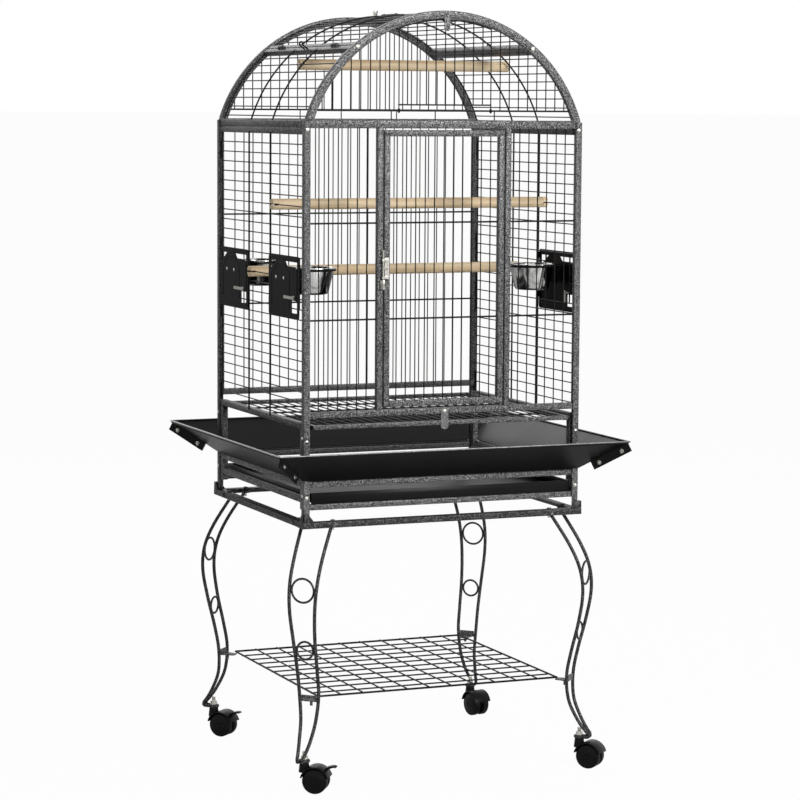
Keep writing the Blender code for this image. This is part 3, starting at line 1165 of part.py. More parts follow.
def make_dome_side(name, side):
    """The fixed curved grille between the body and the roof flap."""
    base, mid, lugs, pins, loop = (new_mesh() for _ in range(5))
    x_out, x_in = side * PANEL_X, side * (PANEL_X - TUBE)
    box(base, (x_out, -SIDE_END, SIDE_TOP_RAIL[1] + GAP), (x_in, SIDE_END, BASE_RAIL_TOP))
    rail_half = HALF_DEPTH - TUBE - GAP
    tilted_rail(mid, MID_RAIL_ANGLE, side, rail_half)
    angles = [perch_angle() + DOME_ROW * k for k in range(-1, 7)]
    end_y = SIDE_END - SIDE_END_WIRE
    ends, outside = curved_wires(side, math.radians(73.4), MID_RAIL_ANGLE, 7, end_y)
    bars = row_wires(side, angles, end_y)
    hinge_x, hinge_z = hinge_point(side)
    rail_x, rail_z = on_dome(DOME_WIRE_RADIUS + 0.001, MID_RAIL_ANGLE, side)
    for y in FLAP_HINGES:
        rod(pins, (hinge_x, y - 0.018, hinge_z), (hinge_x, y + 0.018, hinge_z), FLAP_PIN_RADIUS)
        for way in (-1, 1):
            a, b = y + way * 0.0115, y + way * 0.0165
            face = [(rail_x, a, rail_z), (hinge_x, a, hinge_z + 0.0022),
                    (hinge_x - side * 0.0022, a, hinge_z),
                    (hinge_x, a, hinge_z - 0.0022)]
            prism(lugs, face, (0, b - a, 0))
    top_x, top_z = on_dome(DOME_WIRE_RADIUS + 0.004 + LOOP_HEIGHT, MID_RAIL_ANGLE, side)
    foot_x, foot_z = on_dome(DOME_WIRE_RADIUS - 0.001, MID_RAIL_ANGLE, side)
    loop_points = [(foot_x, -0.009, foot_z)]
    loop_points += [(top_x, -0.009 * math.cos(a), top_z - 0.006 * (1 - math.sin(a)))
                    for a in [math.pi * k / 5 for k in range(6)]]
    loop_points += [(foot_x, 0.009, foot_z)]
    wire_path(loop, loop_points, 0.0018)
    panel = piece(name, "coat", base)
    add_jobs(panel, (("UNION", ends), ("UNION", mid), ("UNION", bars), ("UNION", outside),
                     ("UNION", lugs), ("UNION", pins), ("UNION", loop)))


def make_flap(name, side, strap):
    """A roof flap: hinged on the fixed side's rail and closed against the ridge."""
    lower, ridge, knuckles, ears, bores = (new_mesh() for _ in range(5))
    rail_half = HALF_DEPTH - TUBE - GAP
    tilted_rail(lower, FLAP_RAIL_ANGLE, side, rail_half)
    along, across = DOME_RAIL
    top = DOME_CENTRE + DOME_WIRE_RADIUS - 0.002 + across / 2
    box(ridge, (side * 0.0005, -rail_half, top - across), (side * (0.0005 + along), rail_half, top))
    count = int((FLAP_RAIL_ANGLE - math.radians(4)) / DOME_ROW)
    angles = [FLAP_RAIL_ANGLE - DOME_ROW * (k + 1) for k in range(count)]
    end_y = SIDE_END - SIDE_END_WIRE
    ends, outside = curved_wires(side, FLAP_RAIL_ANGLE, math.radians(1.5), 7, end_y)
    bars = row_wires(side, angles, end_y)
    hinge_x, hinge_z = hinge_point(side)
    rail_x, rail_z = on_dome(DOME_WIRE_RADIUS + 0.001, FLAP_RAIL_ANGLE, side)
    for y in FLAP_HINGES:
        rod(knuckles, (hinge_x, y - 0.010, hinge_z), (hinge_x, y + 0.010, hinge_z), 0.0032, sides=10)
        box(ears, (hinge_x, y - 0.0095, hinge_z - 0.0005), (rail_x - side * 0.002, y + 0.0095, rail_z))
        rod(bores, (hinge_x, y - 0.02, hinge_z), (hinge_x, y + 0.02, hinge_z), FLAP_PIN_RADIUS + RUN)
    flap = piece(name, "coat", lower, origin=(hinge_x, 0, hinge_z))
    jobs = [("UNION", ends), ("UNION", ridge), ("UNION", bars), ("UNION", outside)]
    if strap:
        plate, stud = new_mesh(), new_mesh()
        middle = side * (0.0005 + along / 2)
        box(plate, (middle - 0.0045, -0.020, top - 0.0005), (middle + 0.0045, 0.060, top + 0.0022))
        rod(stud, (middle, WING_Y, top - 0.001), (middle, WING_Y, top + 0.012), 0.002)
        jobs += [("UNION", plate), ("UNION", stud)]
        make_wing_nut(middle, top)
    jobs += [("UNION", knuckles), ("UNION", ears), ("DIFFERENCE", bores)]
    add_jobs(flap, jobs)


def make_wing_nut(x, ridge_top):
    hub, wings, bore = new_mesh(), new_mesh(), new_mesh()
    low = ridge_top + GAP
    rod(hub, (x, WING_Y, low), (x, WING_Y, low + 0.0065), 0.0042, sides=10)
    for way in (-1, 1):
        outline = [(x, WING_Y + way * 0.0025, low + 0.001), (x, WING_Y + way * 0.0085, low + 0.010),
                   (x, WING_Y + way * 0.0125, low + 0.0105), (x, WING_Y + way * 0.0075, low + 0.001)]
        prism(wings, [(px - 0.0009, py, pz) for px, py, pz in outline], (0.0018, 0, 0))
    rod(bore, (x, WING_Y, low - 0.01), (x, WING_Y, low + 0.03), 0.002 + RUN)
    piece("ridge_wing_nut", "nickel", hub, adds=(wings,), cuts=(bore,), origin=(x, WING_Y, low))


# ---- the whole cage --------------------------------------------------------------------------

def build():
    for old in list(bpy.data.objects):
        bpy.data.objects.remove(old)
    make_posts()
    make_front_panel()
    make_back_panel()
    make_front_door()
    make_door_latch()
    make_swivel_tab("door_tab", (DOOR_TAB_X, DOOR_TAB_PIVOT_Z), -PANEL_Y, DOOR_TAB_WIDTH, DOOR_TAB_LENGTH)
    make_side_panel("left_panel", -1, (FRONT_FEEDER_Y, REAR_HINGE_Y))
    make_side_panel("right_panel", 1, (FRONT_FEEDER_Y,))
    make_feeder("front_left", -1, FRONT_FEEDER_Y)
    make_feeder("back_left", -1, REAR_HINGE_Y)
    make_feeder("front_right", 1, FRONT_FEEDER_Y)
    make_perches()
    make_base_frame()
    make_tray()
    make_floor_grate()
    make_seed_guards()
    make_stand_top()
    make_shelf()
    make_corners()
    make_dome_end("dome_front", -1, hatch=True)
    make_dome_end("dome_back", 1, hatch=False)
    make_dome_side("dome_side_left", -1)
    make_dome_side("dome_side_right", 1)
    make_flap("roof_flap_left", -1, strap=True)
    make_flap("roof_flap_right", 1, strap=False)
    make_hatch()
    apex = DOME_CENTRE + DOME_RADIUS - APEX_TAB_PIVOT_DROP
    make_swivel_tab("apex_tab", (0, apex), -HALF_DEPTH, APEX_TAB_WIDTH, APEX_TAB_LENGTH)


build()
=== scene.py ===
"""Looks of a dome-top bird cage on a rolling stand.

Every piece is in metres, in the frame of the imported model: the floor is z = 0 and the door faces -Y.
"""

import json
import math

import bmesh
import bpy
from mathutils import Matrix, Vector


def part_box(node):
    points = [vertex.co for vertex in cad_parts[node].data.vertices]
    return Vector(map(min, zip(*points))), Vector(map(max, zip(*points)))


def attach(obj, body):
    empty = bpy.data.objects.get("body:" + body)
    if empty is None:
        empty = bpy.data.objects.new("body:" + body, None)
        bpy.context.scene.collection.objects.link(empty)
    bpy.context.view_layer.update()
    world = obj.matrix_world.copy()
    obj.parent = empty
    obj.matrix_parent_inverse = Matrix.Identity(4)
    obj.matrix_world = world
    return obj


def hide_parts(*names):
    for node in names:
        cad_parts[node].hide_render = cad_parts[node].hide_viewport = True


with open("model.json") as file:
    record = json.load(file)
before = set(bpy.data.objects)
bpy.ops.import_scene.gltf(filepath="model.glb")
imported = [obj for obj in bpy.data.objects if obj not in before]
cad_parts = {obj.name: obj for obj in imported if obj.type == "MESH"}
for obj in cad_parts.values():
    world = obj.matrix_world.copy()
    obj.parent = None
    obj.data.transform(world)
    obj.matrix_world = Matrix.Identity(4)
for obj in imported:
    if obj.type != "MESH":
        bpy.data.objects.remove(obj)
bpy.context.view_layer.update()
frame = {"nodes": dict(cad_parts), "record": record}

# ---- sizes, in metres ------------------------------------------------------------------------

CORNERS = (("front_left", -1, -1), ("front_right", 1, -1), ("back_left", -1, 1), ("back_right", 1, 1))
PANEL_LOW, PANEL_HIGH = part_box("back_panel")
PANEL_X, PANEL_Y = PANEL_HIGH.x, PANEL_HIGH.y
PANEL_BOTTOM, BODY_TOP = PANEL_LOW.z, PANEL_HIGH.z
FIT = 0.0003
POST_WALL = 0.002
POST_FLANGE = 0.013
POST_TOP = 1.306
POST_SCREWS_FRONT, POST_SCREWS_SIDE = (0.577, 0.687, 1.290), (0.581, 0.693)
HALF_WIDTH = PANEL_X + POST_WALL + FIT
HALF_DEPTH = PANEL_Y + POST_WALL + FIT
TUBE = 0.0125
TUBE_ROUND = 0.0016
BASE_ROUND, BASE_UPPER = 0.0014, (0.597, 0.609)
TOP_RAIL = 0.016
GRILLE_LOW, GRILLE_HIGH = PANEL_BOTTOM + TUBE, BODY_TOP - TOP_RAIL
EDGE_X = PANEL_X - 0.009
WIRE = 0.00122
STIFFENER = 0.0018
WIRE_PITCH = 0.020
WELD = 0.003
MID_Y = PANEL_Y - TUBE / 2
INNER_Y = PANEL_Y - TUBE
SIDE_END = INNER_Y - FIT
SIDE_WIRE_X = HALF_WIDTH - 0.005
SIDE_STIFFENER_X = SIDE_WIRE_X + 0.0034
FEEDER_FACE = SIDE_STIFFENER_X + 0.0043
SIDE_STIFFENER_Y = 0.0625
SIDE_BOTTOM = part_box("left_panel")[0].z
SIDE_RAIL, SIDE_TOP = 1.281, 1.294
END_WIRE_Y = SIDE_END - 0.005
END_WIRE = 0.0016
SIDE_HOOKS = ((0.722, 0.765), (0.895, 1.065), (1.225, 1.266))
DOOR_HALF = 0.1285
DOOR_BOTTOM, DOOR_TOP = 0.749, 1.2905
STILE_INNER = DOOR_HALF + 0.0022
STILE_OUTER = STILE_INNER + TUBE
STIFFENER_HEIGHTS = (0.922, 1.110)
DOME_RADIUS = 0.308
DOME_CENTRE = BODY_TOP - 0.095
ARCH_INNER = DOME_RADIUS - 0.016
DOME_WIRE = 0.302
DOME_ROW = math.radians(3.78)
MID_RAIL = math.radians(39.65)
FLAP_RAIL = math.radians(37.50)
CRESCENT_Z = 1.328
HATCH_HALF = 0.098
RIDGE_TOP = DOME_CENTRE + DOME_WIRE + 0.004
HINGE_RADIUS = 0.3095
DOME_FOOT = BODY_TOP + FIT
PERCH_ANGLE = math.acos((1.418 - DOME_CENTRE) / DOME_WIRE)
FLAP_HINGES = (-0.150, 0.150)
FEEDER_LENGTH = 0.1715
BOWL_PLACE = 0.087
BOWL_X = 0.2405
RING_Z = 1.0149
RING_RADIUS, RING_WIRE = 0.049, 0.0018
FEEDERS = (("front_left", -1, -0.0625), ("back_left", -1, 0.2315), ("front_right", 1, -0.0625))
STAND_TOP = 0.530
STAND_X, STAND_Y = 0.3007, 0.2666
STAND_ANGLE = 0.012
STAND_WALL, STAND_FLANGE = 0.002, 0.019
GUARD_X, GUARD_Y = 0.375, 0.335
GUARD_INNER_X, GUARD_INNER_Y = 0.2975, 0.2585
GUARD_TOP, GUARD_BOTTOM = 0.671, 0.6108
LEG_CORNER = (0.296, 0.269)
LEG_CURVE = (
    (0.5255, -0.0560, 0.0314), (0.460, -0.0113, 0.0299), (0.410, 0.0118, 0.0290),
    (0.360, 0.0174, 0.0268), (0.300, 0.0076, 0.0232), (0.240, -0.0075, 0.0214),
    (0.190, -0.0168, 0.0206), (0.140, -0.0139, 0.0162), (0.100, 0.0034, 0.0117),
    (0.0755, 0.0200, 0.0072),
)
LEG_ROD = 0.0035
LEG_RING, LEG_RINGS = 0.00225, (0.400, 0.280)
FOOT_Z = 0.062
STEM_OUT = 0.005
CASTER_TURNS = {"front_left": -35, "front_right": -49, "back_left": -50, "back_right": -80}
CASTER_TRAIL = 0.024
WHEEL_RADIUS = 0.025
CAGE_MIDDLE = Vector((0, 0, 0.9))
SKY_LIGHT = 0.22


# ---- finishes --------------------------------------------------------------------------------

class Link:
    """One socket of a finish's nodes. Arithmetic on it adds Math nodes."""

    def __init__(self, finish, socket):
        self.finish, self.socket = finish, socket

    def maths(self, operation, *values):
        return self.finish.node("ShaderNodeMath", {"operation": operation}, dict(enumerate(values)))

    def __add__(self, other):
        return self.maths("ADD", self, other)

    def __sub__(self, other):
        return self.maths("SUBTRACT", self, other)

    def __rsub__(self, other):
        return self.maths("SUBTRACT", other, self)

    def __mul__(self, other):
        return self.maths("MULTIPLY", self, other)

    __radd__ = __add__
    __rmul__ = __mul__


class Nodes:
    """The nodes of a material or a world, and the two ways in which they are joined."""

    def __init__(self, owner):
        owner.use_nodes = True
        self.tree = owner.node_tree

    def feed(self, socket, value):
        if isinstance(value, Link):
            self.tree.links.new(value.socket, socket)
        else:
            socket.default_value = value

    def node(self, kind, settings=None, sockets=None, output=0):
        made = self.tree.nodes.new(kind)
        for key, value in (settings or {}).items():
            if key == "stops":
                for stop, (place, colour) in zip(made.color_ramp.elements, value):
                    stop.position, stop.color = place, colour
            else:
                setattr(made, key, value)
        for key, value in (sockets or {}).items():
            self.feed(made.inputs[key], value)
        return Link(self, made.outputs[output])

    def ray(self, kind):
        return self.node("ShaderNodeLightPath", output=kind)


class Finish(Nodes):
    """A material with a procedural pattern."""

    def __init__(self, name, **constants):
        self.material = bpy.data.materials.new(name)
        super().__init__(self.material)
        self.shader = self.tree.nodes["Principled BSDF"]
        self.set(**constants)
        self.place = self.node("ShaderNodeTexCoord", output="Object")

    def set(self, **values):
        for name, value in values.items():
            self.feed(self.shader.inputs[name.replace("_", " ").title().replace("Ior", "IOR")], value)

    def stretched(self, x, y, z):
        return self.node("ShaderNodeMapping", {}, {"Vector": self.place, "Scale": (x, y, z)})

    def noise(self, scale, detail=2.0, roughness=0.5, place=None):
        return self.node("ShaderNodeTexNoise", {}, {
            "Vector": place or self.place, "Scale": scale, "Detail": detail, "Roughness": roughness}, "Fac")

    def ramp(self, value, *stops):
        """Two stops, each a place and a grey or a colour."""
        colours = [(place, (*(grey if isinstance(grey, tuple) else (grey,) * 3), 1))
                   for place, grey in stops]
        return self.node("ShaderNodeValToRGB", {"stops": colours}, {"Fac": value})

    def blend(self, amount, first, second):
        first, second = ((*c, 1) if isinstance(c, tuple) else c for c in (first, second))
        return self.node("ShaderNodeMix", {"data_type": "RGBA"},
                         {0: amount, 6: first, 7: second}, 2)

    def bump(self, height, strength, distance):
        self.set(normal=self.node("ShaderNodeBump", {}, {
            "Strength": strength, "Distance": distance, "Height": height}))


def hammertone(name, dark, pale, rarity):
    """Charcoal powder coat with pale flecks in a beaten black ground."""
    coat = Finish(name, specular_ior_level=0.2, coat_roughness=0.22, coat_weight=0.04)
    flecks = coat.ramp(coat.noise(760, 2, 0.7), (rarity, 0.0), (rarity + 0.09, 1.0))
    patches = coat.noise(420, 2, 0.6)
    ground = coat.blend(patches, (dark, dark, dark), (4 * dark, 4 * dark, 4.1 * dark))
    coat.set(base_color=coat.blend(flecks, ground, (pale, pale, pale * 1.01)),
             roughness=0.50 - 0.18 * flecks, metallic=0.15 * flecks)
    coat.bump(coat.noise(820, 3, 0.6), 0.45, 0.0003)
    return coat.material


def wire_coat():
    """Thin satin powder coat on wire, a little lighter where it has pooled."""
    coat = Finish("wire coat", specular_ior_level=0.14, coat_weight=0.02, coat_roughness=0.2)
    pooled = coat.noise(260, 3, 0.6)
    coat.set(base_color=coat.blend(pooled, (0.002, 0.002, 0.002), (0.014, 0.014, 0.0143)),
             roughness=0.36 + 0.14 * pooled)
    coat.bump(coat.noise(900, 2), 0.15, 0.0002)
    return coat.material


def sheet_coat(name, gloss):
    """Smooth black powder coat on sheet, with faint orange peel and handling marks."""
    coat = Finish(name, specular_ior_level=gloss)
    marks = coat.noise(14, 5, 0.65, coat.stretched(1, 1, 0.35))
    coat.set(base_color=coat.blend(marks, (0.003, 0.003, 0.0031), (0.008, 0.008, 0.0083)),
             roughness=0.26 + 0.16 * marks)
    coat.bump(coat.noise(520, 2), 0.10, 0.0002)
    return coat.material


def hem_coat():
    """The same coat on the rolled rims: glossier, with a lighter grey in its colour that is a painted
    highlight.
    """
    coat = Finish("hem coat", specular_ior_level=0.7, coat_weight=1.0, coat_roughness=0.12)
    highlight_and_gloss_noise = coat.noise(70, 4, 0.6)
    # painted highlight: the rims' colour runs from near black up to mid grey, standing in for the bright line
    # of light along them; the same noise also varies the gloss and bump
    coat.set(base_color=coat.blend(highlight_and_gloss_noise, (0.03, 0.03, 0.03), (0.20, 0.20, 0.20)),
             roughness=0.22 + 0.1 * highlight_and_gloss_noise, metallic=0.35)
    coat.bump(highlight_and_gloss_noise, 0.08, 0.0002)
    return coat.material


def polished_steel():
    """Stainless steel, spun on a lathe: fine rings of varying gloss, and painted reflections as dark and
    bright streaks in its colour.
    """
    steel = Finish("polished steel", metallic=1.0)
    rings = steel.noise(5, 4, 0.6, steel.stretched(1, 1, 260))
    # painted reflections: the colour swings in soft streaks between near black and bright steel
    painted_reflection_streaks = steel.ramp(steel.noise(1, 3, 0.6, steel.stretched(34, 34, 5)), (0.42, 0.0), (0.53, 1.0))
    steel.set(base_color=steel.blend(painted_reflection_streaks, (0.045, 0.045, 0.045), (0.66, 0.66, 0.65)),
              roughness=0.09 + 0.10 * rings)
    steel.bump(rings, 0.08, 0.0002)
    return steel.material


def bright_plate():
    """Zinc or nickel plate on screws and latches."""
    plate = Finish("bright plate", metallic=1.0)
    dull = plate.noise(700, 3)
    plate.set(base_color=plate.blend(dull, (0.46, 0.45, 0.41), (0.76, 0.74, 0.68)),
              roughness=0.16 + 0.22 * dull)
    plate.bump(plate.noise(1500, 2), 0.12, 0.0001)
    return plate.material


def pine_dowel():
    """Sawn and sanded pine, with the grain along X."""
    pine = Finish("pine dowel", specular_ior_level=0.35)
    fibres = pine.noise(1, 6, 0.62, pine.stretched(9, 520, 520))
    bands = pine.noise(1, 3, 0.5, pine.stretched(3.5, 95, 95))
    tint = pine.ramp(bands, (0.36, (0.86, 0.70, 0.47)), (0.68, (0.60, 0.41, 0.22)))
    pine.set(base_color=pine.blend(0.35, tint, pine.ramp(fibres, (0.35, (0.90, 0.76, 0.55)),
                                                        (0.70, (0.52, 0.35, 0.19)))),
             roughness=0.52 + 0.2 * fibres)
    pine.bump(fibres, 0.35, 0.0005)
    return pine.material


def moulded_plastic():
    """Glossy black moulded plastic with a faint spark texture."""
    plastic = Finish("moulded plastic", specular_ior_level=0.1)
    grain = plastic.noise(900, 2)
    plastic.set(base_color=plastic.blend(grain, (0.002, 0.002, 0.0021), (0.006, 0.006, 0.0062)),
                roughness=0.24 + 0.14 * grain)
    plastic.bump(grain, 0.12, 0.0002)
    return plastic.material


def wheel_nylon():
    """Dull black wheel, scuffed grey on its tread."""
    nylon = Finish("wheel nylon", specular_ior_level=0.12)
    scuffs = nylon.ramp(nylon.noise(130, 5, 0.7), (0.55, 0.0), (0.78, 1.0))
    nylon.set(base_color=nylon.blend(0.4 * scuffs, (0.003, 0.003, 0.0031), (0.030, 0.030, 0.030)),
              roughness=0.36 + 0.2 * scuffs)
    nylon.bump(nylon.noise(700, 3), 0.2, 0.0003)
    return nylon.material


FINISHES = {
    "hammertone_coat": hammertone("hammertone coat", 0.007, 0.46, 0.520),
    "dark_wire": wire_coat(),
    "black_sheet": sheet_coat("sheet coat", 0.12),
    "stainless": polished_steel(),
    "bright_nickel": bright_plate(),
    "pine": pine_dowel(),
    "black_plastic": moulded_plastic(),
    "wheel_nylon": wheel_nylon(),
}
TAB_COAT = hammertone("tab coat", 0.03, 0.42, 0.50)
STAND_COAT = hammertone("stand coat", 0.003, 0.38, 0.57)
DOOR_SHEET = sheet_coat("feeder sheet coat", 0.04)
# the rims' coat, whose lighter grey is a painted highlight
HEM = hem_coat()


# ---- shapes ----------------------------------------------------------------------------------

def facing(direction):
    """Turns +Z to a direction."""
    return Vector(direction).to_track_quat("Z", "Y").to_matrix().to_4x4()


def absorb(mesh, part):
    """Adds one finished shape to a piece's mesh."""
    bmesh.ops.recalc_face_normals(part, faces=part.faces)
    data = bpy.data.meshes.new("part")
    part.to_mesh(data)
    part.free()
    mesh.from_mesh(data)
    bpy.data.meshes.remove(data)


def bar(mesh, start, end, rounding=TUBE_ROUND, segments=2):
    """A square bar or a strip between two corners, with its edges rounded."""
    low, high = Vector(map(min, start, end)), Vector(map(max, start, end))
    part = bmesh.new()
    bmesh.ops.create_cube(part, size=1, matrix=Matrix.Translation((low + high) / 2)
                          @ Matrix.Diagonal(high - low).to_4x4())
    bmesh.ops.bevel(part, geom=part.edges[:], offset=rounding, affect="EDGES", segments=segments,
                    profile=0.5, material=-1)
    absorb(mesh, part)


def rod(mesh, start, end, radius=WIRE, sides=8):
    """A round bar from one point to another."""
    start, end = Vector(start), Vector(end)
    bmesh.ops.create_cone(mesh, cap_ends=True, segments=sides, radius1=radius, radius2=radius,
                          depth=(end - start).length,
                          matrix=Matrix.Translation((start + end) / 2) @ facing(end - start))


def outline_face(corners, rounding, segments=2):
    """A flat face with rounded corners, in a mesh of its own."""
    part = bmesh.new()
    points = [part.verts.new(corner) for corner in corners]
    part.faces.new(points)
    if rounding:
        bmesh.ops.bevel(part, geom=points, offset=rounding, affect="VERTICES", segments=segments,
                        profile=0.5, material=-1)
    return part


def pushed(mesh, corners, offset, rounding=0.0, segments=2, edge=0.0):
    """An outline pushed through by an offset. edge rounds off all of its edges afterwards."""
    part = outline_face(corners, rounding, segments)
    made = bmesh.ops.extrude_face_region(part, geom=part.faces[:])["geom"]
    moved = [item for item in made if isinstance(item, bmesh.types.BMVert)]
    bmesh.ops.translate(part, verts=moved, vec=Vector(offset))
    if edge:
        bmesh.ops.recalc_face_normals(part, faces=part.faces)
        bmesh.ops.bevel(part, geom=part.edges[:], offset=edge, affect="EDGES", segments=1,
                        profile=0.5, material=-1)
    absorb(mesh, part)


def swept(mesh, corners, centre, axis, angle, steps, rounding=0.0):
    """An outline turned part of the way round an axis."""
    part = outline_face(corners, rounding)
    bmesh.ops.spin(part, geom=part.faces[:], cent=centre, axis=axis, angle=angle, steps=steps)
    absorb(mesh, part)


def lathe(mesh, centre, axis, profile, steps=40):
    """A profile of (radius, height) pairs turned all the way round an axis."""
    centre, axis = Vector(centre), Vector(axis).normalized()
    out = axis.orthogonal().normalized()
    part = bmesh.new()
    points = [part.verts.new(centre + out * radius + axis * height) for radius, height in profile]
    edges = [part.edges.new(pair) for pair in zip(points, points[1:])]
    if profile[0][0] > 0:
        edges.append(part.edges.new((points[-1], points[0])))
    bmesh.ops.spin(part, geom=points + edges, cent=centre, axis=axis, angle=math.tau, steps=steps,
                   use_merge=True)
    bmesh.ops.remove_doubles(part, verts=part.verts, dist=1e-6)
    absorb(mesh, part)


def collar(mesh, place, axis, bore, radius, length, ease=0.0003):
    """A short tube with its outer edges eased."""
    lathe(mesh, place, axis, [(bore, 0), (radius - 0.0002, 0), (radius, ease), (radius, length - ease),
                              (radius - 0.0002, length), (bore, length)], 20)


def disc(mesh, place, axis, radius, height, steps):
    lathe(mesh, place, axis, [(0, 0), (radius, 0), (radius, height), (0, height)], steps)


def angle_iron(mesh, corner, one, other, wall, run):
    """An L section with its legs along one and other from its outer corner, pushed along a run."""
    corner, one, other = Vector(corner), Vector(one), Vector(other)
    thin_one, thin_other = one.normalized() * wall, other.normalized() * wall
    pushed(mesh, [corner, corner + one, corner + one + thin_other, corner + thin_one + thin_other,
                  corner + thin_one + other, corner + other], run, rounding=0.0006)


def hoop(mesh, centre, axis, radius, thick, steps=28, sides=8):
    """A ring of round wire."""
    turns = [math.tau * k / sides for k in range(sides)]
    profile = [(radius + thick * math.cos(turn), thick * math.sin(turn)) for turn in turns]
    lathe(mesh, centre, axis, profile, steps)


def bent_rod(mesh, points, radius=WIRE, sides=8):
    """A round rod bent through the points: its end face is drawn out from each to the next."""
    points = [Vector(point) for point in points]
    ways = [(b - a).normalized() for a, b in zip(points, points[1:])]
    normals = [ways[0]] + [(a + b).normalized() for a, b in zip(ways, ways[1:])] + [ways[-1]]
    part = bmesh.new()
    bmesh.ops.create_circle(part, cap_ends=True, segments=sides, radius=radius,
                            matrix=Matrix.Translation(points[0]) @ facing(normals[0]))
    part.faces.ensure_lookup_table()
    end = part.faces[0]
    for k in range(1, len(points)):
        made = bmesh.ops.extrude_face_region(part, geom=[end])["geom"]
        end = next(item for item in made if isinstance(item, bmesh.types.BMFace))
        turn = normals[k - 1].rotation_difference(normals[k]).to_matrix().to_4x4()
        bmesh.ops.transform(part, verts=end.verts[:], matrix=Matrix.Translation(points[k]) @ turn
                            @ Matrix.Translation(-points[k - 1]))
    absorb(mesh, part)


def on_dome(radius, angle, side=1):
    """(x, z) at a radius and an angle from the top."""
    return side * radius * math.sin(angle), DOME_CENTRE + radius * math.cos(angle)


def dome_rod(mesh, y, start, end, radius, thick=WIRE, steps=16, sides=8):
    """A round wire that follows the dome's circle between two angles."""
    x, z = on_dome(radius, start)
    part = bmesh.new()
    bmesh.ops.create_circle(part, cap_ends=True, segments=sides, radius=thick,
                            matrix=Matrix.Translation((x, y, z))
                            @ facing((math.cos(start), 0, -math.sin(start))))
    bmesh.ops.spin(part, geom=part.faces[:], cent=(0, y, DOME_CENTRE), axis=(0, 1, 0),
                   angle=end - start, steps=steps)
    absorb(mesh, part)


def screw(mesh, place, direction, radius=0.0038, height=0.0020):
    """A domed screw head on its washer."""
    lathe(mesh, place, direction,
          [(0, 0), (radius, 0), (radius, height * 0.3), (radius * 0.86, height * 0.34),
           (radius * 0.78, height * 0.7), (radius * 0.5, height), (radius * 0.16, height),
           (radius * 0.12, height * 0.55), (0, height * 0.55)], 16)


def hex_bolt(mesh, place, direction, radius=0.005, height=0.003):
    place, direction = Vector(place), Vector(direction)
    rod(mesh, place, place + direction * height, radius, 6)
    rod(mesh, place - direction * 0.0004, place + direction * 0.0008, radius * 1.25, 20)


def placed(name, data):
    """A new object in the scene."""
    made = bpy.data.objects.new(name, data)
    bpy.context.scene.collection.objects.link(made)
    return made


def finish_piece(name, mesh, slot, body="cage", nodes=(), sharp=50, finish=None):
    """Makes the object, gives it its finish, puts it on its body, and hides the solids that it replaces."""
    data = bpy.data.meshes.new(name)
    mesh.to_mesh(data)
    mesh.free()
    data.shade_smooth()
    data.set_sharp_from_angle(angle=math.radians(sharp))
    made = placed(name, data)
    data.materials.append(finish or FINISHES[slot])
    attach(made, body)
    if nodes:
        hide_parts(*nodes)
    return made


def rows(low, high):
    """Places of wires from low, a pitch apart, that stay half a pitch short of high."""
    return [low + WIRE_PITCH * (k + 1) for k in range(int((high - low) / WIRE_PITCH - 0.5))]


def mirrored(places):
    """The places, 0 and the places on the other side."""
    return [-x for x in places] + [0] + places


def smooth_points(knots, steps):
    """Points on a smooth curve through the knots."""
    points = []
    for i in range(len(knots) - 1):
        around = list(zip(knots[max(i - 1, 0)], knots[i], knots[i + 1], knots[min(i + 2, len(knots) - 1)]))
        for k in range(steps):
            t = k / steps
            points.append(tuple(0.5 * (2 * b + (c - a) * t + (2 * a - 5 * b + 4 * c - d) * t * t
                                       + (3 * b - a - 3 * c + d) * t ** 3) for a, b, c, d in around))
    return points + [tuple(knots[-1])]


SIDE_ROWS = rows(SIDE_BOTTOM + TUBE, SIDE_RAIL + WIRE_PITCH / 2)
LEG_LINE = smooth_points(LEG_CURVE, 6)


# ---- cage body -------------------------------------------------------------------------------

def make_posts():
    screws = bmesh.new()
    low, high = STAND_TOP + FIT, POST_TOP
    for name, sx, sy in CORNERS:
        x, y = sx * HALF_WIDTH, sy * HALF_DEPTH
        iron = bmesh.new()
        angle_iron(iron, (x, y, low), (-sx * POST_FLANGE, 0, 0), (0, -sy * POST_FLANGE, 0), POST_WALL,
                   (0, 0, high - low))
        finish_piece(f"angle_iron_{name}", iron, "hammertone_coat", nodes=[f"post_{name}"])
        for z in POST_SCREWS_FRONT:
            screw(screws, (x - sx * POST_FLANGE / 2, y, z), (0, sy, 0))
        for z in POST_SCREWS_SIDE:
            screw(screws, (x, y - sy * POST_FLANGE / 2, z), (sx, 0, 0))
    finish_piece("post_screws", screws, "bright_nickel")


def flat_frame(mesh, front, low, high, top_rail, uprights):
    """Top and bottom rails with uprights between them, in a panel's plane. low and high are (x, z)."""
    y0, y1 = front * PANEL_Y, front * INNER_Y
    bar(mesh, (low[0], y0, low[1]), (high[0], y1, low[1] + TUBE))
    bar(mesh, (low[0], y0, high[1]), (high[0], y1, high[1] - top_rail))
    sunk = front * 0.00015
    for x0, x1 in uprights:
        bar(mesh, (x0, y0 - sunk, low[1] + TUBE / 2), (x1, y1 + sunk, high[1] - TUBE / 2))


def flat_grille(mesh, front, places, low, high, spans):
    """Upright wires, with a stiffener behind them at each height for each span of x."""
    layer = front * MID_Y
    for x in places:
        rod(mesh, (x, layer, low - WELD), (x, layer, high + WELD))
    deep = layer - front * (WIRE + STIFFENER)
    for z in STIFFENER_HEIGHTS:
        for x0, x1 in spans:
            rod(mesh, (x0 - WELD, deep, z), (x1 + WELD, deep, z), STIFFENER, 10)


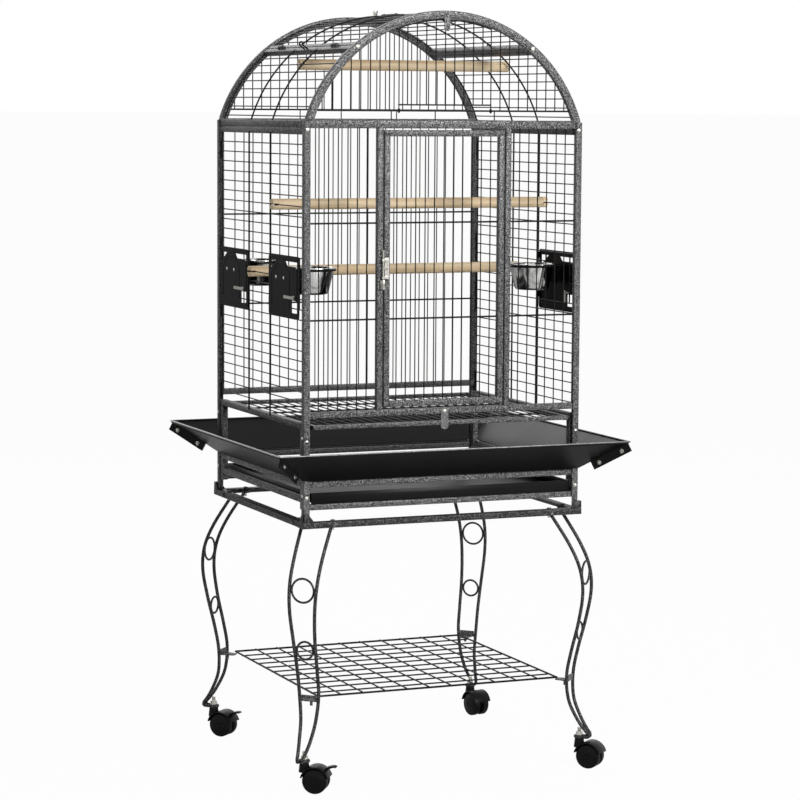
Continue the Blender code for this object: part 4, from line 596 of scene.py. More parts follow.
def make_end_panel(name, front, middle_uprights, places, spans):
    tubes, wires = bmesh.new(), bmesh.new()
    flat_frame(tubes, front, (-PANEL_X, PANEL_BOTTOM), (PANEL_X, BODY_TOP), TOP_RAIL,
               [(-PANEL_X, -EDGE_X), *middle_uprights, (EDGE_X, PANEL_X)])
    flat_grille(wires, front, places, GRILLE_LOW, GRILLE_HIGH, spans)
    node = "front_panel" if front < 0 else "back_panel"
    finish_piece(f"{name}_tubes", tubes, "hammertone_coat", nodes=[node])
    finish_piece(f"{name}_wires", wires, "dark_wire")


def make_front_panel():
    right = rows(STILE_OUTER, EDGE_X)
    make_end_panel("front", -1, [(-STILE_OUTER, -STILE_INNER), (STILE_INNER, STILE_OUTER)],
                   right + [-x for x in right], [(-EDGE_X, -STILE_OUTER), (STILE_OUTER, EDGE_X)])
    keeper = bmesh.new()
    bolt_x, bolt_y = -STILE_INNER - 0.0018, -PANEL_Y - 0.0053
    collar(keeper, (bolt_x, bolt_y, 0.981), (0, 0, 1), 0.00215, 0.0036, 0.018, 0.0006)
    bar(keeper, (bolt_x - 0.0045, -PANEL_Y, 0.9815), (bolt_x + 0.0012, bolt_y + 0.0022, 0.9985), 0.0004, 1)
    finish_piece("door_keeper", keeper, "bright_nickel")


def make_back_panel():
    make_end_panel("rear", 1, [], mirrored(rows(0, EDGE_X)), [(-EDGE_X, EDGE_X)])


def make_front_door():
    tubes, wires = bmesh.new(), bmesh.new()
    inner = DOOR_HALF - TUBE
    flat_frame(tubes, -1, (-DOOR_HALF, DOOR_BOTTOM), (DOOR_HALF, DOOR_TOP), TUBE,
               [(-DOOR_HALF, -inner), (inner, DOOR_HALF)])
    pin_x, pin_y = DOOR_HALF - 0.0035, -PANEL_Y + 0.0035
    for z0, z1 in ((0.7395, DOOR_BOTTOM + 0.001), (DOOR_TOP - 0.001, 1.2975)):
        rod(tubes, (pin_x, pin_y, z0), (pin_x, pin_y, z1), 0.002, 12)
    flat_grille(wires, -1, mirrored(rows(0, inner + WIRE_PITCH / 2)), DOOR_BOTTOM + TUBE, DOOR_TOP - TUBE,
                [(-inner, inner)])
    finish_piece("door_tubes", tubes, "hammertone_coat", "door", ["front_door"])
    finish_piece("door_wires", wires, "dark_wire", "door")


def make_door_tab():
    """A rounded strip that hangs from a bright screw below the door."""
    low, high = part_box("door_tab")
    x, half, face = (low.x + high.x) / 2, (high.x - low.x) / 2, -PANEL_Y - FIT
    wall, pivot = 0.0012, high.z - half
    plate, head = bmesh.new(), bmesh.new()
    pushed(plate, [(x - half, face, low.z), (x + half, face, low.z), (x + half, face, high.z),
                   (x - half, face, high.z)], (0, -wall, 0), rounding=half * 0.7, segments=6, edge=0.0003)
    screw(head, (x, face - wall + 0.0001, pivot), (0, -1, 0), 0.0042, 0.0018)
    rod(head, (x, face, pivot), (x, face + 0.004, pivot), 0.0016, 12)
    finish_piece("door_tab_strip", plate, "hammertone_coat", "tab_door", ["door_tab"], 35, TAB_COAT)
    finish_piece("door_tab_screw", head, "bright_nickel", "tab_door")


def feeder_span(hinge_y):
    """Where a bowl and its ring pass through the side grille as they swing, as (far, near) in y."""
    bowl_y = hinge_y - FEEDER_LENGTH + BOWL_PLACE
    swing = hinge_y - math.hypot(SIDE_STIFFENER_X - BOWL_X, hinge_y - bowl_y)
    reach = RING_RADIUS + RING_WIRE + 0.0045
    return swing - reach, swing + reach


def side_hook(mesh, side, way, low, high):
    """A wire hook round the end of a side panel, which holds the panel to its post."""
    layer, tip, root = side * SIDE_WIRE_X, way * (SIDE_END - 0.0006), way * END_WIRE_Y
    half = [(layer, root, 0.002), (layer + side * 0.0012, tip - way * 0.001, 0.002),
            (layer + side * 0.0014, tip, 0.004)]
    bent_rod(mesh, [(x, y, low + z) for x, y, z in half]
             + [(x, y, high - z) for x, y, z in half[::-1]], 0.0017)


def make_side_panel(name, side, hinge_ys):
    tubes, wires = bmesh.new(), bmesh.new()
    for z0, z1 in ((SIDE_BOTTOM, SIDE_BOTTOM + TUBE), (SIDE_RAIL, SIDE_TOP)):
        bar(tubes, (side * PANEL_X, -SIDE_END, z0), (side * (PANEL_X - TUBE), SIDE_END, z1))
    layer, outside = side * SIDE_WIRE_X, side * SIDE_STIFFENER_X
    low, high = SIDE_BOTTOM + TUBE - WELD, SIDE_RAIL + WELD
    spans = [feeder_span(hinge_y) for hinge_y in sorted(hinge_ys)]
    under, over = 10, 15
    for row, z in enumerate(SIDE_ROWS):
        gaps = [y for span in spans for y in span] if under < row < over else []
        stops = [-END_WIRE_Y, *gaps, END_WIRE_Y]
        for y0, y1 in zip(stops[::2], stops[1::2]):
            rod(wires, (layer, y0, z), (layer, y1, z))
    for y in (-END_WIRE_Y, END_WIRE_Y):
        rod(wires, (layer, y, low), (layer, y, high), END_WIRE)
    for y in [y for span in spans for y in span]:
        rod(wires, (layer, y, SIDE_ROWS[under]), (layer, y, SIDE_ROWS[over]), END_WIRE)
    for y in (-SIDE_STIFFENER_Y, SIDE_STIFFENER_Y):
        rod(wires, (outside, y, low), (outside, y, high), STIFFENER, 10)
    for y in hinge_ys:
        if abs(abs(y) - SIDE_STIFFENER_Y) > 0.01:
            rod(wires, (outside, y, SIDE_ROWS[under - 1] - 0.003),
                (outside, y, SIDE_ROWS[over + 1] + 0.003), STIFFENER, 10)
    for z0, z1 in SIDE_HOOKS:
        for way in (-1, 1):
            side_hook(wires, side, way, z0, z1)
    finish_piece(f"{name}_tubes", tubes, "hammertone_coat", nodes=[f"{name}_panel"])
    finish_piece(f"{name}_wires", wires, "dark_wire")


# ---- feeders ---------------------------------------------------------------------------------

def door_sheet(mesh, side, hinge_y, outline, depth, thick, rounding, border=0.0):
    """A sheet in the feeder door's plane. Its outline is in distances from the hinge and heights."""
    x = side * (SIDE_STIFFENER_X + depth)
    part = outline_face([(x, hinge_y - u, z) for u, z in outline], rounding)
    if border:
        middle = part.faces[:]
        bmesh.ops.inset_individual(part, faces=middle, thickness=border)
        bmesh.ops.delete(part, geom=middle, context="FACES_ONLY")
    made = bmesh.ops.extrude_face_region(part, geom=part.faces[:])["geom"]
    moved = [item for item in made if isinstance(item, bmesh.types.BMVert)]
    bmesh.ops.translate(part, verts=moved, vec=(side * thick, 0, 0))
    absorb(mesh, part)


def make_feeder_sheet(name, side, hinge_y):
    """The door's open frame, and the raised plate on it with its pressed bead."""
    plate = bmesh.new()
    low, high, near, thick = 0.923, 1.045, 0.0002, 0.0012
    door_sheet(plate, side, hinge_y,
               [(near, low), (FEEDER_LENGTH, low), (FEEDER_LENGTH, high), (near, high)],
               0.0022, thick, 0.0060, border=0.0115)
    door_sheet(plate, side, hinge_y,
               [(0.008, 0.941), (0.015, 0.932), (0.1325, 0.932), (0.1325, 0.9585), (0.161, 0.9585),
                (0.161, 1.017), (0.153, 1.0245), (0.107, 1.0245), (0.092, 1.0375), (0.050, 1.0375),
                (0.008, 1.012)], 0.0030, thick, 0.0022)
    bead = [(0.020, 0.943), (0.120, 0.943), (0.120, 1.012), (0.086, 1.029), (0.056, 1.029), (0.020, 1.006),
            (0.020, 0.943)]
    bent_rod(plate, [(side * (FEEDER_FACE - 0.0003), hinge_y - u, z) for u, z in bead], 0.0008, 6)
    finish_piece(f"feeder_plate_{name}", plate, "black_sheet", f"feeder_{name}",
                 [f"feeder_door_{name}"], 35, DOOR_SHEET)


def make_feeder_ring(name, side, hinge_y):
    """The ring that carries the bowl, its arms, the band below it and the door's knuckles."""
    holder = bmesh.new()
    x, y = side * BOWL_X, hinge_y - FEEDER_LENGTH + BOWL_PLACE
    hoop(holder, (x, y, RING_Z), (0, 0, 1), RING_RADIUS, RING_WIRE, 48, 10)
    apart = 0.030
    reach = x + side * math.sqrt(RING_RADIUS ** 2 - apart ** 2)
    for arm in (y - apart, y + apart):
        rod(holder, (reach, arm, RING_Z), (side * (SIDE_STIFFENER_X + 0.0026), arm, RING_Z), RING_WIRE, 10)
    inner, outer, low, high, spread = 0.0514, 0.0524, 0.981, 1.0126, math.radians(62)
    section = [(x + side * radius * math.cos(spread), y - radius * math.sin(spread), z)
               for radius, z in ((inner, low), (outer, low), (outer, high), (inner, high))]
    swept(holder, section, (x, y, 0), (0, 0, side), 2 * spread, 24)
    for z in (0.9461, 1.0261):
        collar(holder, (side * SIDE_STIFFENER_X, hinge_y, z), (0, 0, 1), 0.0023, 0.0034, 0.012)
    finish_piece(f"feeder_ring_{name}", holder, "black_sheet", f"feeder_{name}", sharp=40, finish=DOOR_SHEET)


def make_feeder_rivets(name, side, hinge_y):
    """Two rivets in the raised plate, and the washer on which the latch turns."""
    rivets, sunk = bmesh.new(), side * (FEEDER_FACE - 0.0002)
    for u in (0.045, 0.088):
        screw(rivets, (sunk, hinge_y - u, 1.000), (side, 0, 0), 0.0034, 0.0014)
    disc(rivets, (sunk, hinge_y - FEEDER_LENGTH + 0.028, 0.964), (side, 0, 0), 0.0048, 0.0004, 20)
    finish_piece(f"feeder_rivets_{name}", rivets, "bright_nickel", f"feeder_{name}")


def make_bowl(name):
    """A spun bowl with a rolled rim."""
    low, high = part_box(f"feeder_bowl_{name}")
    middle, top = (low + high) / 2, high.z - low.z
    bowl = bmesh.new()
    outside = [(0, 0), (0.0300, 0), (0.0328, 0.0012), (0.0352, 0.0046), (0.0444, top - 0.0090),
               (0.0450, top - 0.0040)]
    rim = [(0.0472, top - 0.0034), (0.0483, top - 0.0026), (0.0487, top - 0.0015), (0.0483, top - 0.0004),
           (0.0472, top), (0.0450, top - 0.0003), (0.0438, top - 0.0016)]
    inside = [(0.0436, top - 0.0060), (0.0342, 0.0066), (0.0318, 0.0030), (0.0290, 0.0016), (0, 0.0015)]
    lathe(bowl, (middle.x, middle.y, low.z), (0, 0, 1), outside + rim + inside, 56)
    finish_piece(f"bowl_{name}_steel", bowl, "stainless", f"bowl_{name}", [f"feeder_bowl_{name}"], 40)


# ---- perches ---------------------------------------------------------------------------------

def make_perch(node, slot_depth):
    """A dowel with chamfered ends that are slotted to sit over a wire."""
    low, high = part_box(node)
    y, z = (low.y + high.y) / 2, (low.z + high.z) / 2
    radius, half, slot, chamfer = 0.0109, (high.x - low.x) / 2, 0.0019, 0.0009
    inner = half - slot_depth
    body = bmesh.new()
    rod(body, (-inner, y, z), (inner, y, z), radius, 32)
    for side in (-1, 1):
        for way in (-1, 1):
            lip = bmesh.new()
            rod(lip, (side * (inner - 0.001), y, z), (side * half, y, z), radius, 32)
            tip = [e for e in lip.edges if all(side * v.co.x > half - 0.0015 for v in e.verts)]
            bmesh.ops.bevel(lip, geom=tip, offset=chamfer, affect="EDGES", segments=2, profile=0.5,
                            material=-1)
            bmesh.ops.bisect_plane(lip, geom=lip.verts[:] + lip.edges[:] + lip.faces[:],
                                   plane_co=(0, 0, z + way * slot), plane_no=(0, 0, -way), clear_outer=True)
            bmesh.ops.contextual_create(lip, geom=[e for e in lip.edges if e.is_boundary])
            absorb(body, lip)
    finish_piece(f"{node}_dowel", body, "pine", nodes=[node], sharp=30)


# ---- base frame, tray and grate --------------------------------------------------------------

def make_base_frame():
    tubes = bmesh.new()
    for way in (-1, 1):
        for z0, z1 in (BASE_UPPER, (0.5525, 0.564)):
            bar(tubes, (-PANEL_X, way * PANEL_Y, z0), (PANEL_X, way * INNER_Y, z1), BASE_ROUND)
        for z0, z1 in (BASE_UPPER, (0.566, 0.578)):
            bar(tubes, (way * (PANEL_X - 0.0001), -INNER_Y - 0.001, z0),
                (way * (PANEL_X - TUBE), INNER_Y + 0.001, z1), BASE_ROUND)
        for y in (-1, 1):
            bar(tubes, (way * (PANEL_X - 0.0002), y * (INNER_Y + 0.003), 0.5527),
                (way * (PANEL_X - TUBE + 0.0002), y * (INNER_Y - TUBE), SIDE_BOTTOM - FIT), 0.0012)
        start, wide, thick = PANEL_X - TUBE + 0.0015, 0.013, 0.0019
        for top in (0.568, SIDE_BOTTOM - FIT):
            bar(tubes, (way * start, -SIDE_END + 0.002, top - thick),
                (way * (start - wide), SIDE_END - 0.002, top), 0.0004, 1)
    finish_piece("base_tubes", tubes, "hammertone_coat", nodes=["base_frame"])


def make_tray():
    low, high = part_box("tray")
    floor, wall, hem = 0.5683, 0.0012, 0.0011
    sheet, rim = bmesh.new(), bmesh.new()
    for start, end in (((low.x, low.y, floor), (high.x, high.y, floor + wall)),
                       ((-high.x, low.y, floor), (-high.x + wall, high.y, high.z)),
                       ((high.x, low.y, floor), (high.x - wall, high.y, high.z)),
                       ((low.x, high.y, floor), (high.x, high.y - wall, high.z)),
                       ((low.x, low.y, low.z), (high.x, low.y + wall, high.z))):
        bar(sheet, start, end, 0.0004, 1)
    x, front, back, z = high.x - hem, low.y + hem, high.y - hem, high.z - hem
    bent_rod(rim, [(-x, front, z), (x, front, z), (x, back, z), (-x, back, z), (-x, front, z)], hem, 10)
    finish_piece("tray_sheet", sheet, "black_sheet", "tray", ["tray"])
    finish_piece("tray_hem", rim, "black_sheet", "tray", finish=HEM)


def make_grate():
    low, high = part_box("floor_grate")
    rails, wires = bmesh.new(), bmesh.new()
    thick, rounding = high.z - low.z, 0.0011
    for y in (low.y, high.y - thick):
        bar(rails, (low.x, y, low.z), (high.x, y + thick, high.z), rounding)
    for x in (low.x, high.x - thick):
        bar(rails, (x, low.y + thick / 2, low.z + 0.0001), (x + thick, high.y - thick / 2, high.z - 0.0001),
            rounding)
    layer, deep, inner, off_middle = high.z - 0.0026, high.z - 0.0059, high.x - thick, 0.002
    count = int((inner - WIRE_PITCH / 2 + off_middle) / WIRE_PITCH)
    x = off_middle - WIRE_PITCH / 2 - WIRE_PITCH * count
    while x < inner - 2 * WIRE:
        rod(wires, (x, low.y + thick - WELD, layer), (x, high.y - thick + WELD, layer))
        x += WIRE_PITCH
    for k in range(1, 5):
        y = low.y + (high.y - low.y) * k / 5
        rod(wires, (low.x + thick - WELD, y, deep), (inner + WELD, y, deep), STIFFENER, 10)
    finish_piece("grate_rails", rails, "hammertone_coat", "grate", ["floor_grate"])
    finish_piece("grate_wires", wires, "dark_wire", "grate")


# ---- seed guard ------------------------------------------------------------------------------

def make_seed_guards():
    """Rolled rims and bright screws for the four sloping aprons."""
    rims, screws, hem = bmesh.new(), bmesh.new(), 0.0015
    wide = GUARD_X, GUARD_Y, GUARD_INNER_X, GUARD_INNER_Y
    deep = GUARD_Y, GUARD_X, GUARD_INNER_Y, GUARD_INNER_X
    for turn, (long, out, inner_long, inner_out) in ((0, wide), (90, deep), (180, wide), (270, deep)):
        quarter = Matrix.Rotation(math.radians(turn), 4, "Z")
        ends = [quarter @ Vector((side * (long - hem), -out + hem * 0.5, GUARD_TOP - hem * 0.6))
                for side in (-1, 1)]
        rod(rims, *ends, hem, 12)
        for side in (-1, 1):
            outer = Vector((side * (long - 0.0011), -out, GUARD_TOP - 0.0012))
            inner = Vector((side * (inner_long - 0.0011), -inner_out, GUARD_BOTTOM))
            along = (inner - outer).normalized()
            flat = Vector((along.x, along.y, 0)).normalized()
            down = along.cross(flat.cross(Vector((0, 0, 1)))).normalized()
            down = -down if down.z > 0 else down
            away = Vector((-flat.y, flat.x, 0)).normalized()
            away = -away if away.x * side > 0 else away
            for place in (0.0245, 0.078):
                spot = outer + along * place + down * 0.009 + away * 0.0011
                screw(screws, quarter @ spot, quarter.to_3x3() @ away, 0.0044, 0.0032)
    finish_piece("guard_rims", rims, "black_sheet", finish=HEM)
    finish_piece("guard_screws", screws, "bright_nickel")


# ---- stand -----------------------------------------------------------------------------------

def leg_point(sx, sy, out, across, z):
    """A place at a leg's corner: along the diagonal, across it, and up."""
    diagonal = math.sqrt(0.5)
    return (sx * (LEG_CORNER[0] + (out - across) * diagonal),
            sy * (LEG_CORNER[1] + (out + across) * diagonal), z)


def leg_offsets(z):
    """How far out a leg is at a height, and half the distance between its rods."""
    for (z1, out1, half1), (z0, out0, half0) in zip(LEG_LINE, LEG_LINE[1:]):
        if z0 <= z <= z1:
            t = (z - z0) / (z1 - z0)
            return out0 + (out1 - out0) * t, half0 + (half1 - half0) * t


def leg_top(sx, sy):
    """The tops of a leg's two rods: at the stand's front or back, and at its side."""
    z, out, half = LEG_CURVE[0]
    return leg_point(sx, sy, out, half, z), leg_point(sx, sy, out, -half, z)


def make_leg(name, sx, sy):
    one, other = ([leg_point(sx, sy, out, way * half, z) for z, out, half in LEG_LINE] for way in (1, -1))
    foot = smooth_points([(0.0250, 0.0062, 0.0700), (0.0262, 0.0056, 0.0645), (0.0240, 0.0056, 0.0624),
                          (0.0200, 0.0060, FOOT_Z)], 3)
    eye = 0.0082
    foot += [(STEM_OUT + eye * math.cos(a), eye * math.sin(a), FOOT_Z)
             for a in map(math.radians, range(50, 176, 14))]
    route = one + [leg_point(sx, sy, *place) for place in foot]
    route.append(leg_point(sx, sy, STEM_OUT - eye, 0, FOOT_Z))
    route += [leg_point(sx, sy, out, -across, z) for out, across, z in reversed(foot)] + other[::-1]
    leg = bmesh.new()
    bent_rod(leg, route, LEG_ROD, 12)
    for z in LEG_RINGS:
        out, half = leg_offsets(z)
        hoop(leg, leg_point(sx, sy, out, 0, z), (sx, sy, 0), half - LEG_ROD - LEG_RING + 0.0006, LEG_RING,
             32, 10)
    (end_x, end_y, _), (side_x, side_y, _) = leg_top(sx, sy)
    low, high, half, wall = STAND_TOP - 0.011, STAND_TOP - 0.0023, 0.009, 0.0023
    bar(leg, (end_x - half, sy * (STAND_Y - wall), low), (end_x + half, end_y, high), 0.0010)
    bar(leg, (sx * (STAND_X - wall), side_y - half, low), (side_x, side_y + half, high), 0.0010)
    finish_piece(f"rods_{name}", leg, "hammertone_coat", nodes=[f"leg_{name}"], finish=STAND_COAT)


def make_stand_top():
    iron, bolts, tips = bmesh.new(), bmesh.new(), bmesh.new()
    x, y, low, high, tuck = STAND_X, STAND_Y, STAND_TOP - STAND_ANGLE, STAND_TOP, 0.0001
    for way in (-1, 1):
        angle_iron(iron, (-x, way * y, high), (0, -way * STAND_FLANGE, 0), (0, 0, -STAND_ANGLE), STAND_WALL,
                   (2 * x, 0, 0))
        angle_iron(iron, (way * (x - tuck), -y + 2 * tuck, high - tuck), (-way * (STAND_FLANGE - tuck), 0, 0),
                   (0, 0, 2 * tuck - STAND_ANGLE), STAND_WALL - tuck, (0, 2 * (y - 2 * tuck), 0))
    foot, wide, narrow, top, middle = high - 0.001, 0.025, 0.012, 0.545, (low + high) / 2
    for _, sx, sy in CORNERS:
        corner = Vector((sx * (x - tuck), sy * (y - tuck), 0))
        inward = Vector((-sx, 0, 0)), Vector((0, -sy, 0))
        for along, through in (inward, inward[::-1]):
            pushed(iron, [corner + along * far + Vector((0, 0, z))
                          for far, z in ((0, foot), (wide, foot), (narrow, top), (0, top))],
                   through * 0.0018, edge=0.0004)
        (end_x, _, _), (_, side_y, _) = leg_top(sx, sy)
        hex_bolt(bolts, (end_x, sy * y, middle), (0, sy, 0), 0.0045, 0.0028)
        hex_bolt(bolts, (sx * x, side_y, middle), (sx, 0, 0), 0.0045, 0.0028)
        for tab_x, tab_y in ((end_x, sy * (y - 0.013)), (sx * (x - 0.013), side_y)):
            hex_bolt(bolts, (tab_x, tab_y, high), (0, 0, 1), 0.0042, 0.0026)
            rod(tips, (tab_x, tab_y, low + 0.001), (tab_x, tab_y, low - 0.0055), 0.0026, 12)
    finish_piece("stand_angle_iron", iron, "hammertone_coat", nodes=["stand_top_frame"], finish=STAND_COAT)
    finish_piece("stand_bolts", bolts, "hammertone_coat")
    finish_piece("stand_bolt_tips", tips, "bright_nickel")


def make_shelf():
    low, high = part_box("shelf_grid")
    wires = bmesh.new()
    border, thin, cells = 0.0021, 0.0016, 11
    x, y, z = high.x - border, high.y - border, (low.z + high.z) / 2
    bent_rod(wires, [(-x, -y, z), (x, -y, z), (x, y, z), (-x, y, z), (-x, -y, z)], border, 10)
    for k in range(1, cells):
        place = low + (high - low) * k / cells
        rod(wires, (-x, place.y, low.z + thin), (x, place.y, low.z + thin), thin)
        rod(wires, (place.x, -y, high.z - thin), (place.x, y, high.z - thin), thin)
    finish_piece("shelf_wires", wires, "dark_wire", nodes=["shelf_grid"])


# ---- casters ---------------------------------------------------------------------------------


def make_wheels(axle, inner, outer):
    wheels, radius, width = bmesh.new(), WHEEL_RADIUS, outer - inner
    tread = [(0, 0), (radius - 0.003, 0), (radius - 0.0012, 0.0006), (radius, 0.002),
             (radius, width - 0.0052), (radius - 0.0006, width - 0.0036), (radius - 0.0020, width - 0.0022)]
    face = [(radius - 0.0042, width - 0.0013), (radius - 0.0056, width - 0.0017),
            (radius - 0.0062, width - 0.0013), (0.011, width - 0.0002), (0.0056, width),
            (0.0050, width - 0.0010), (0, width - 0.0008)]
    for side in (Vector((0, -1, 0)), Vector((0, 1, 0))):
        lathe(wheels, axle + side * inner, side, tread + face, 48)
    reach = Vector((0, inner + 0.001, 0))
    rod(wheels, axle - reach, axle + reach, 0.004, 16)
    return wheels


def make_hood(axle, stem, inner, outer, half, stem_top):
    """The fork's curved hood, the web inside it and the boss round its stem."""
    hood = bmesh.new()
    start, sweep, steps = math.radians(16), math.radians(150), 20
    section = [(axle.x + r * math.cos(start), axle.y + y, axle.z + r * math.sin(start))
               for r, y in ((inner, -half), (outer, -half), (outer, half), (inner, half))]
    swept(hood, section, axle, (0, -1, 0), sweep, 30, rounding=0.0011)
    arc = [((inner + 0.001) * math.cos(a), (inner + 0.001) * math.sin(a))
           for a in (start + sweep * k / steps for k in range(steps + 1))]
    arc += [(-0.010, -0.009), (0.010, -0.009)]
    web = 0.0032
    pushed(hood, [(axle.x + x, axle.y - web, axle.z + z) for x, z in arc], (0, 2 * web, 0))
    lathe(hood, (stem.x, stem.y, 0.040), (0, 0, 1),
          [(0, 0), (0.0112, 0), (0.0104, 0.008), (0.0095, stem_top - 0.0420), (0.0090, stem_top - 0.0400),
           (0, stem_top - 0.0400)], 28)
    return hood


def make_stem_nut(stem, stem_top):
    """The threaded stem, its washers and the nut on the leg's foot."""
    nuts, ring_top = bmesh.new(), FOOT_Z + LEG_ROD
    disc(nuts, (stem.x, stem.y, stem_top - 0.0016), (0, 0, 1), 0.0080, 0.0013, 24)
    for k in range(6):
        hoop(nuts, (stem.x, stem.y, FOOT_Z + 0.0115 + 0.0012 * k), (0, 0, 1), 0.0038, 0.00035, 16, 5)
    for z0, z1, radius, sides in ((stem_top - 0.001, FOOT_Z + 0.019, 0.0038, 16),
                                  (ring_top + FIT, ring_top + 0.0015, 0.0084, 24),
                                  (ring_top + 0.0013, ring_top + 0.0068, 0.0070, 6)):
        rod(nuts, (stem.x, stem.y, z0), (stem.x, stem.y, z1), radius, sides)
    return nuts


def make_brake_lever(axle, hood_outer):
    lever, half, pin = bmesh.new(), 0.0075, Vector((0, 0.0080, 0))
    away, far = math.radians(46), hood_outer + 0.0038
    pivot = axle + Vector((far * math.cos(away), 0, far * math.sin(away)))
    rod(lever, pivot - pin, pivot + pin, 0.0034, 20)
    profile = [(-0.0010, 0.0031), (0.0040, 0.0052), (0.0100, 0.0066), (0.0150, 0.0066), (0.0188, 0.0048),
               (0.0182, 0.0032), (0.0140, 0.0036), (0.0090, 0.0024), (0.0040, -0.0004), (0.0005, -0.0030)]
    pushed(lever, [(pivot.x + x, pivot.y - half, pivot.z + z) for x, z in profile], (0, 2 * half, 0),
           edge=0.0006)
    return lever


def make_caster(name, sx, sy, brake):
    stem = Vector(leg_point(sx, sy, STEM_OUT, 0, 0))
    axle = stem + Vector((CASTER_TRAIL, 0, WHEEL_RADIUS))
    inner, outer = 0.0038, 0.0198
    hood_in, hood_out = WHEEL_RADIUS + 0.0012, WHEEL_RADIUS + 0.0042
    stem_top = FOOT_Z - LEG_ROD - FIT
    parts = [("wheels", make_wheels(axle, inner, outer), "wheel_nylon", "wheel", ["caster_wheel"]),
             ("hood", make_hood(axle, stem, hood_in, hood_out, outer, stem_top), "black_plastic", "caster",
              ["caster_hood"]),
             ("stem_nut", make_stem_nut(stem, stem_top), "bright_nickel", "caster", [])]
    if brake:
        parts.append(("brake_lever", make_brake_lever(axle, hood_out), "black_plastic", "brake",
                      ["caster_brake"]))
    turn = Matrix.Rotation(math.radians(CASTER_TURNS[name]), 3, "Z")
    for piece, mesh, slot, body, nodes in parts:
        bmesh.ops.rotate(mesh, verts=mesh.verts[:], cent=stem, matrix=turn)
        finish_piece(f"{piece}_{name}", mesh, slot, f"{body}_{name}", [f"{node}_{name}" for node in nodes],
                     40)


# ---- dome ------------------------------------------------------------------------------------

def make_dome_end(name, way, hatch):
    y_out, y_in = way * HALF_DEPTH, way * (HALF_DEPTH - TUBE)
    middle = (y_out + y_in) / 2
    arch, wires, screws = bmesh.new(), bmesh.new(), bmesh.new()
    spread = math.radians(76)
    corners = []
    for radius, y in ((ARCH_INNER, y_out), (DOME_RADIUS, y_out), (DOME_RADIUS, y_in), (ARCH_INNER, y_in)):
        x, z = on_dome(radius, -spread)
        corners.append((x, y, z))
    part = outline_face(corners, 0.0018)
    bmesh.ops.spin(part, geom=part.faces[:], cent=(0, 0, DOME_CENTRE), axis=(0, 1, 0), angle=2 * spread,
                   steps=80)
    bmesh.ops.bisect_plane(part, geom=part.verts[:] + part.edges[:] + part.faces[:], dist=1e-7,
                           plane_co=(0, 0, DOME_FOOT), plane_no=(0, 0, -1), clear_outer=True)
    bmesh.ops.holes_fill(part, edges=[e for e in part.edges if e.is_boundary], sides=0)
    absorb(arch, part)
    reach = math.sqrt(ARCH_INNER ** 2 - (CRESCENT_Z - DOME_CENTRE) ** 2)
    rod(wires, (-reach - WELD, middle, CRESCENT_Z), (reach + WELD, middle, CRESCENT_Z), STIFFENER, 10)
    places = rows(HATCH_HALF if hatch else 0, reach + WIRE_PITCH * 0.3)
    for x in places + [-x for x in places] + ([] if hatch else [0]):
        top = DOME_CENTRE + math.sqrt((ARCH_INNER + WELD) ** 2 - x * x)
        rod(wires, (x, middle, CRESCENT_Z), (x, middle, top))
    for x in (-0.114, -0.021, 0.106):
        rod(wires, (x, middle, BODY_TOP), (x, middle, CRESCENT_Z))
    for side in (-1, 1):
        x, z = on_dome(DOME_RADIUS - 0.008, math.radians(38.4), side)
        screw(screws, (x, y_out, z), (0, way, 0))
    finish_piece(f"arch_{name}", arch, "hammertone_coat", nodes=[f"dome_{name}"])
    finish_piece(f"arch_wires_{name}", wires, "dark_wire")
    finish_piece(f"arch_screws_{name}", screws, "bright_nickel")


def tilted_rail(mesh, angle, side, half_length):
    """A bar along the dome that lies square to its circle."""
    corners, half_wide, half_deep = [], 0.00525, 0.006
    for a, r in ((-1, -1), (1, -1), (1, 1), (-1, 1)):
        x, z = on_dome(DOME_WIRE - 0.002 + r * half_deep, angle, side)
        shift = a * half_wide
        corners.append((x + side * shift * math.cos(angle), -half_length, z - shift * math.sin(angle)))
    pushed(mesh, corners, (0, 2 * half_length, 0), rounding=BASE_ROUND)


def dome_grille(mesh, side, start, end, angles):
    """Straight wires, their curved end wires, and two curved stiffeners outside them."""
    for y in (-END_WIRE_Y, END_WIRE_Y):
        dome_rod(mesh, y, side * start, side * end, DOME_WIRE, END_WIRE, 24)
    for y in (-SIDE_STIFFENER_Y, SIDE_STIFFENER_Y):
        dome_rod(mesh, y, side * start, side * end, DOME_WIRE + WIRE + STIFFENER, STIFFENER, 24, 10)
    for angle in angles:
        x, z = on_dome(DOME_WIRE, angle, side)
        rod(mesh, (x, -END_WIRE_Y, z), (x, END_WIRE_Y, z))


def hinge_place(side):
    """(x, z) of a roof flap's hinge."""
    return on_dome(HINGE_RADIUS, (MID_RAIL + FLAP_RAIL) / 2, side)


